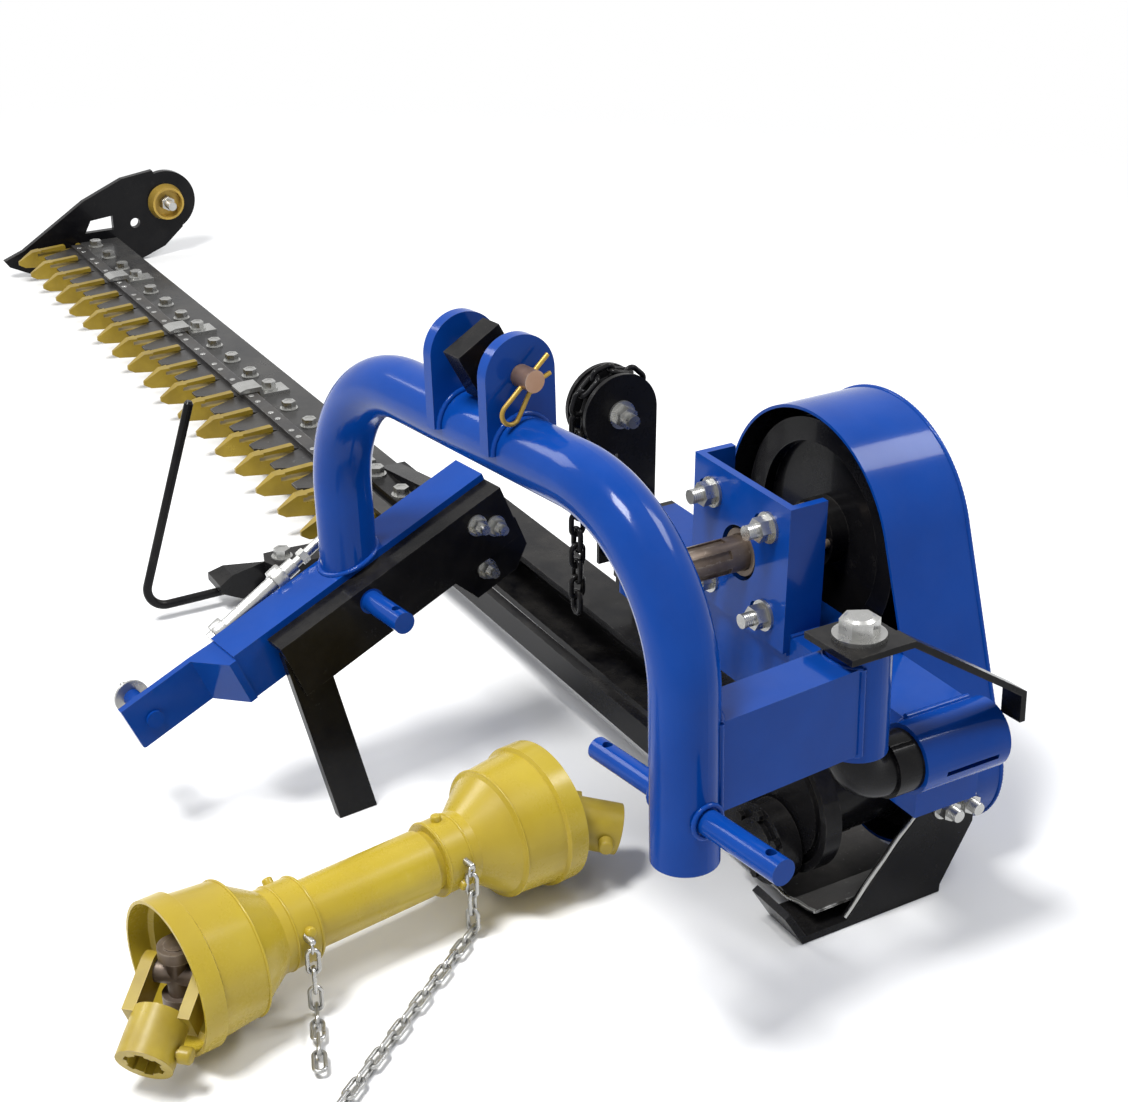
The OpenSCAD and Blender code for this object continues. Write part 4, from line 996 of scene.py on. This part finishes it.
@dataclass
class DriveUnit(Fittings):
    """Welds, threads, race and screws, chain end, bright edge beads and the back of the cover."""

    beam_y: float = 255.0
    beam_d: float = 70.0
    beam_top: float = 240.0
    plate_half: float = 78.0
    plate_t: float = 8.0
    plate_drop: float = 17.0
    plate_seam: float = 32.0
    input_z: float = 297.0
    bolt_half: float = 46.0
    bolt_d: float = 14.0
    tail: float = 26.0
    roll_r: float = 32.0
    roll_weld_d: float = 8.0
    roll_arc: Pair = (135.0, 135.0)
    shaft_r: float = 17.5
    race_r: float = 24.0
    race_t: float = 6.0
    screw_at: float = 26.5
    hub_y: float = 333.0
    skid_face: float = 211.4
    skid_bolts: Pair = (343.0, 367.0)
    skid_tail: Pair = (12.8, 9.8)
    crank_z: float = 100.0
    sheave: Point = (-262.0, 305.0, 348.5)
    link_pitch: float = 19.0
    link_d: float = 6.0
    links: range = range(5, 12)
    edge_line: tuple[Pair, ...] = (
        (237.0, 9.0), (261.0, 39.0), (286.0, 70.0), (306.0, 91.5), (327.0, 114.0),
    )
    edge_steps: int = 6
    edge_d: float = 4.6
    cover_back: float = 421.0
    cover_r: Pair = (129.0, 72.0)
    cover_bolt_r: float = 92.0
    cover_bolt_angles: Pair = (75.0, 190.0)
    crank_x: float = 132.0
    pan_y: float = 206.0
    pan_x: Pair = (62.0, 203.0)
    pan_z: float = 10.5
    pan_steps: int = 28
    pan_edge_d: float = 4.2

    def build(self) -> None:
        """Models the pieces and fixes them to the drive unit and the input shaft."""
        self._welds()
        self._threads()
        self._input()
        self._chain_end()
        self._bright_edge_beads()
        self._cover_seam()

    def _welds(self) -> None:
        """Lays the seams of the roll tube and the bearing bracket."""
        unit, along = LAYOUT.unit(), turn(-90, "X")
        rise = self.beam_top - LAYOUT.roll_z
        seam_x = LAYOUT.leg_x - math.sqrt(self.roll_r**2 - rise**2)
        at = unit @ move(seam_x - 0.5, self.beam_y, self.beam_top + 0.8) @ along
        welds = [self.bench.seam(at, self.beam_d, self.roll_weld_d)]
        for y in (self.beam_y, self.beam_y + self.beam_d):
            at = unit @ move(LAYOUT.leg_x, y, LAYOUT.roll_z) @ turn(90, "X")
            welds.append(self.bench.bead(at, self.roll_r + 1.0, WELD_D, *self.roll_arc))
        low = self.beam_top - self.plate_drop
        at = unit @ move(-self.plate_half, self.beam_y - 1.5, low) @ turn(90, "Y")
        welds.append(self.bench.seam(at, 2 * self.plate_half, WELD_D))
        for side in (-1, 1):
            x = side * (self.plate_half + 0.5)
            at = unit @ move(x, self.beam_y, self.beam_top + 0.5) @ along
            welds.append(self.bench.seam(at, self.plate_seam, THIN_WELD_D))
        self.bench.fit(welds, "unit_welds", "drive_unit", Slot.BLUE, WELD_SMOOTH)

    def _threads(self) -> None:
        """Cuts threads on the free ends of the bearing and skid bolts."""
        unit = LAYOUT.unit()
        start = self.bolt_d * 1.05
        places = []
        for x in (-self.bolt_half, self.bolt_half):
            for z in (-self.bolt_half, self.bolt_half):
                seat = move(x, self.beam_y - self.plate_t - start, self.input_z + z)
                places.append(unit @ seat @ turn(90, "X"))
        stud = self.bench.stud(self.tail - start + 0.6, self.bolt_d + 0.7, pitch=1.0)
        threads = self.bench.copies(stud, places)
        nut, length = self.skid_tail
        foot = unit @ move(self.skid_face + nut, 0, self.crank_z)
        places = [foot @ move(0, y, 0) @ turn(90, "Y") for y in self.skid_bolts]
        stud = self.bench.stud(length, thick=12.7, pitch=0.9)
        threads += self.bench.copies(stud, places)
        self.bench.fit(threads, "bolt_threads", "drive_unit", Slot.ZINC, 20.0)

    def _input(self) -> None:
        """Models the bearing race and the hub screws that turn with the input shaft."""
        bench, unit, flat = self.bench, LAYOUT.unit(), turn(90, "X")
        race = bench.collar(self.shaft_r + 0.2, self.race_r, self.race_t)
        race = bench.place(race, unit @ move(0, self.beam_y - 0.3, self.input_z) @ flat)
        hub = unit @ move(0, self.hub_y, self.input_z) @ flat
        places = [hub @ turn(angle, "Z") @ move(self.screw_at, 0, 0) for angle in (0, 120, 240)]
        screw = bench.button(radius=4.5, height=5.0, sides=18, bevel=0.25)
        screws = bench.copies(screw, places)
        bench.fit([race, *screws], "input_fittings", "input_drive", Slot.WORN, 40.0)

    def _chain_end(self) -> None:
        """Lets the back end of the lift chain hang as low as its front end."""
        x, y, z = self.sheave
        thick = self.link_d
        link = self.bench.link(thick, 3.4 * thick, self.link_pitch + 2.0 * thick + 0.5)
        places = []
        for number in self.links:
            spot = move(x, y, z - (number + 0.5) * self.link_pitch)
            places.append(LAYOUT.unit() @ spot @ turn(90 + 90 * (number % 2), "Z"))
        links = self.bench.copies(link, places)
        self.bench.fit(links, "chain_end", "drive_unit", Slot.BLACK, 60.0)

    def _bright_edge_beads(self) -> None:
        """Rounds the edges of the skid plate and the pan with bright zinc beads."""
        rim = []
        for (y, z), (end_y, end_z) in zip(self.edge_line, self.edge_line[1:]):
            for step in range(self.edge_steps):
                share = step / self.edge_steps
                bend = 0.9 * math.sin(len(rim) * 0.75)
                spot = (y + (end_y - y) * share + bend, z + (end_z - z) * share)
                rim.append((self.skid_face - 2.2, *spot))
        low, high = self.pan_x
        lip = []
        for number in range(self.pan_steps + 1):
            share = number / self.pan_steps
            rise = 24.0 * max(0.0, share - 0.75) + 7.0 * share * share
            z = self.pan_z + rise + 0.8 * math.sin(number * 0.9)
            lip.append((low + share * (high - low), self.pan_y, z))
        lines = ((rim, self.edge_d), (lip, self.pan_edge_d))
        edges = [
            self.bench.place(self.bench.trail(line, thick), LAYOUT.unit()) for line, thick in lines
        ]
        self.bench.fit(edges, "bright_edge_beads", "drive_unit", Slot.ZINC, 50.0)

    def _cover_seam(self) -> None:
        """Lays the seam round the back of the belt cover and sets its bolts."""
        wide, narrow = (radius - 0.6 for radius in self.cover_r)
        away, drop = self.crank_x, self.crank_z - self.input_z
        base = math.degrees(math.atan2(drop, away))
        lead = math.degrees(math.acos((wide - narrow) / math.hypot(away, drop)))
        back = LAYOUT.unit() @ move(0, self.cover_back - 0.6, self.input_z)
        flat, crank = turn(90, "X"), move(away, 0, drop)
        seam = [
            self.bench.bead(back @ flat, wide, THIN_WELD_D, 360.0 - 2 * lead, base + lead),
            self.bench.bead(back @ crank @ flat, narrow, THIN_WELD_D, 2 * lead, base - lead),
        ]
        span = math.sqrt(away**2 + drop**2 - (wide - narrow) ** 2)
        for side in (-1, 1):
            spot = turn(-base - side * lead, "Y") @ move(wide, 0, 0) @ turn(90 + side * 90, "Y")
            seam.append(self.bench.seam(back @ spot, span, THIN_WELD_D))
        self.bench.fit(seam, "cover_seam", "drive_unit", Slot.BLUE, WELD_SMOOTH)
        face = move(0, 0.4, 0) @ turn(-90, "X")
        reach = move(self.cover_bolt_r, 0, 0)
        spots = [turn(-angle, "Y") @ reach for angle in self.cover_bolt_angles]
        spots.append(move(away + 18.0, 0, drop - 30.0))
        places = [back @ spot @ face for spot in spots]
        washer = self.bench.button(radius=12.0, height=1.8, sides=28, bevel=0.3)
        bolts = self.bench.copies(washer, places)
        head = self.bench.button(radius=9.4, height=7.6, sides=6, bevel=0.12)
        bolts += self.bench.copies(head, places)
        self.bench.fit(bolts, "cover_bolts", "drive_unit", Slot.ZINC, 30.0)


@dataclass
class DriveShaft(Fittings):
    """Ring beads, knobs, chain hangers, lock buttons and circlips of the loose drive shaft."""

    joint_u: float = 190.0
    bell_len: float = 100.0
    rim_past: float = 12.0
    tube_r: float = 32.0
    tube_step: float = 3.4
    front_turn: float = 38.0
    front_drop: float = 24.0
    rear_turn: float = 36.0
    rear_drop: float = 14.0
    front_link: float = 60.0
    rear_link: float = 28.0
    hub_r: float = 25.0
    hub_end: float = 84.0
    lock_back: float = 14.0
    cross_half: float = 30.0
    link_w: float = 14.0
    ring_r: float = 5.2
    ring_d: float = 2.8
    ring_z: float = 5.0
    knobs: tuple[float, ...] = (20.0, 140.0, 260.0)

    def build(self) -> None:
        """Models the pieces of both ends."""
        slim = self.tube_r - self.tube_step
        ends = (
            ("front", 1, self.front_turn, self.front_drop, self.tube_r, self.front_link),
            ("rear", -1, self.rear_turn, -self.rear_drop, slim, self.rear_link),
        )
        for name, way, twist, drop, tube, heading in ends:
            guard = LAYOUT.shaft() @ turn(way * 90, "X")
            joint = guard @ move(0, 0, self.joint_u) @ turn(twist, "Y") @ turn(drop, "X")
            self._guard(name, guard, tube)
            self._yoke(name, joint)
            self._hanger(name, -way * (self.joint_u - self.bell_len - 4.0), tube + 7.0, heading)

    def _hanger(self, name: str, along: float, collar: float, heading: float) -> None:
        """Hangs the tether chain on a post and a ring beside the collar.

        Args:
            name: Which end.
            along: Place of the collar along the shaft.
            collar: Radius of the collar.
            heading: Angle that the first link is turned by.
        """
        bench, chain, across = self.bench, LAYOUT.shaft() @ move(0, along, 0), turn(90, "Y")
        link_x = collar + self.link_w / 2 + 0.35
        post = bench.button(radius=3.4, height=link_x - collar + 6.5, sides=16, bevel=0.2)
        at = chain @ move(collar - 3.0, 0, self.ring_z + self.ring_r) @ across
        post = bench.place(post, at)
        at = chain @ move(link_x, 0, self.ring_z) @ turn(heading, "Z") @ across
        ring = bench.place(bench.hoop(self.ring_r, self.ring_d), at)
        bench.fit([post, ring], f"{name}_chain_hanger", f"shaft_guard_{name}", Slot.ZINC, 40.0)

    def _guard(self, name: str, guard: Matrix, tube: float) -> None:
        """Adds ring beads and knobs to one guard half.

        Args:
            name: Which end.
            guard: Place of the guard half, its cone opening along Z.
            tube: Radius of its tube.
        """
        bench, cone = self.bench, LAYOUT.cone_r
        neck, rim = self.joint_u - self.bell_len, self.joint_u + self.rim_past
        rings = (
            (cone - 0.2, rim - 8.0, 3.0),
            (cone - 0.4, rim - 18.0, 2.4),
            (cone - 7.8, neck + 47.0, 2.6),
            (tube + 6.8, neck + 4.0, 2.6),
            (tube + 6.8, neck - 20.0, 2.6),
        )
        pieces = []
        for radius, at, thick in rings:
            ring = bench.hoop(min(radius, cone - thick / 2), thick)
            pieces.append(bench.place(ring, guard @ move(0, 0, at)))
        spot = move(tube + 6.0, 0, neck - 8.0) @ turn(90, "Y")
        spots = [guard @ turn(around, "Z") @ spot for around in self.knobs]
        pieces += bench.copies(bench.button(radius=5.0, height=7.0, sides=18, bevel=0.3), spots)
        bench.fit(pieces, f"{name}_guard_rings", f"shaft_guard_{name}", Slot.PLASTIC, 40.0)

    def _yoke(self, name: str, joint: Matrix) -> None:
        """Adds the lock button and the circlips of one end yoke.

        Args:
            name: Which end.
            joint: Place of the yoke, its hub along Z.
        """
        bench, body = self.bench, f"{name}_end_yoke"
        lock = joint @ move(self.hub_r, 0, self.hub_end - self.lock_back)
        stem = bench.button(radius=4.7, height=8.0, sides=20, bevel=0.1)
        stem = bench.place(stem, lock @ move(-5.5, 0, 0) @ turn(90, "Y"))
        head = bench.button(radius=7.5, height=11.0, sides=24, bevel=0.25)
        head = bench.place(head, lock @ move(2.0, 0, 0) @ turn(90, "Y"))
        bench.fit([stem, head], f"{name}_lock_button", body, Slot.YELLOW, 40.0)
        seat = move(0, 0, self.cross_half - 0.1)
        places = [joint @ turn(angle, "Y") @ seat for angle in (90, -90)]
        clips = bench.copies(bench.collar(bore=10.6, radius=13.5, height=1.4), places)
        bench.fit(clips, f"{name}_circlips", body, Slot.BLACK, 40.0)


@dataclass
class CutterBar(Fittings):
    """Rivets of the knife sections and the nut of the cup."""

    first_guard_x: float = 745.0
    pitch: float = 76.2
    count: int = 17
    rivet_y: float = 202.0
    rivet_half: float = 13.0
    top_z: float = 60.2
    cup_x: float = -2078.5
    cup_y: float = 392.0
    cup_z: float = 104.0
    cup_nut: float = 24.0

    def build(self) -> None:
        """Models the rivets and the nut and fixes them to the knife and the bar."""
        head = self.bench.button(radius=4.4, height=1.0, sides=12)
        places = []
        for number in range(self.count):
            for side in (-self.rivet_half, self.rivet_half):
                x = -self.first_guard_x - (number + 0.5) * self.pitch + side
                places.append(LAYOUT.unit() @ move(x, self.rivet_y, self.top_z))
        rivets = self.bench.copies(head, places)
        self.bench.fit(rivets, "knife_rivets", "knife", Slot.ZINC, 50.0)
        self._cup_bolt()

    def _cup_bolt(self) -> None:
        """Plates the nut and the threaded end of the cup's bolt."""
        bench = self.bench
        cup = LAYOUT.unit() @ move(self.cup_x, self.cup_y, self.cup_z) @ turn(90, "Y")
        corner = self.cup_nut / math.sqrt(3.0) + 0.3
        nut = bench.button(radius=corner, height=14.4, sides=6, bevel=0.12)
        nut = bench.place(nut, cup @ move(0, 0, 3.8) @ turn(30, "Z"))
        stud = bench.stud(length=22.2, thick=16.8, pitch=1.1)
        stud = bench.place(stud, cup @ move(0, 0, 18.0))
        bench.fit([nut, stud], "cup_nut", "cutter_bar", Slot.ZINC, 25.0)


def paint_nodes(frame: dict, coats: dict[Slot, Material], effects: Effects) -> None:
    """Gives every CAD node its own finish or the finish of its slot.

    Args:
        coats: One material for each slot.
        effects: The shared node groups.
    """
    special = {name: finish.build(effects) for name, finish in NODE_FINISHES.items()}
    for entry in frame["record"]["subparts"]:
        node = frame["nodes"][entry["node"]]
        coat = special.get(entry["node"]) or coats[Slot(entry["material_slot"])]
        node.data.materials.clear()
        node.data.materials.append(coat)


def main() -> None:
    """Loads the frame, dresses it and sets the stage."""
    logging.basicConfig(level=logging.INFO)
    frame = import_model()
    effects = Effects()
    coats = {slot: finish.build(effects) for slot, finish in FINISHES.items()}
    paint_nodes(frame, coats, effects)
    bench = Bench(coats)
    for group in (HitchFrame, DriveUnit, CutterBar, DriveShaft):
        group(bench).build()
    Studio().build()


if __name__ == "__main__":
    main()
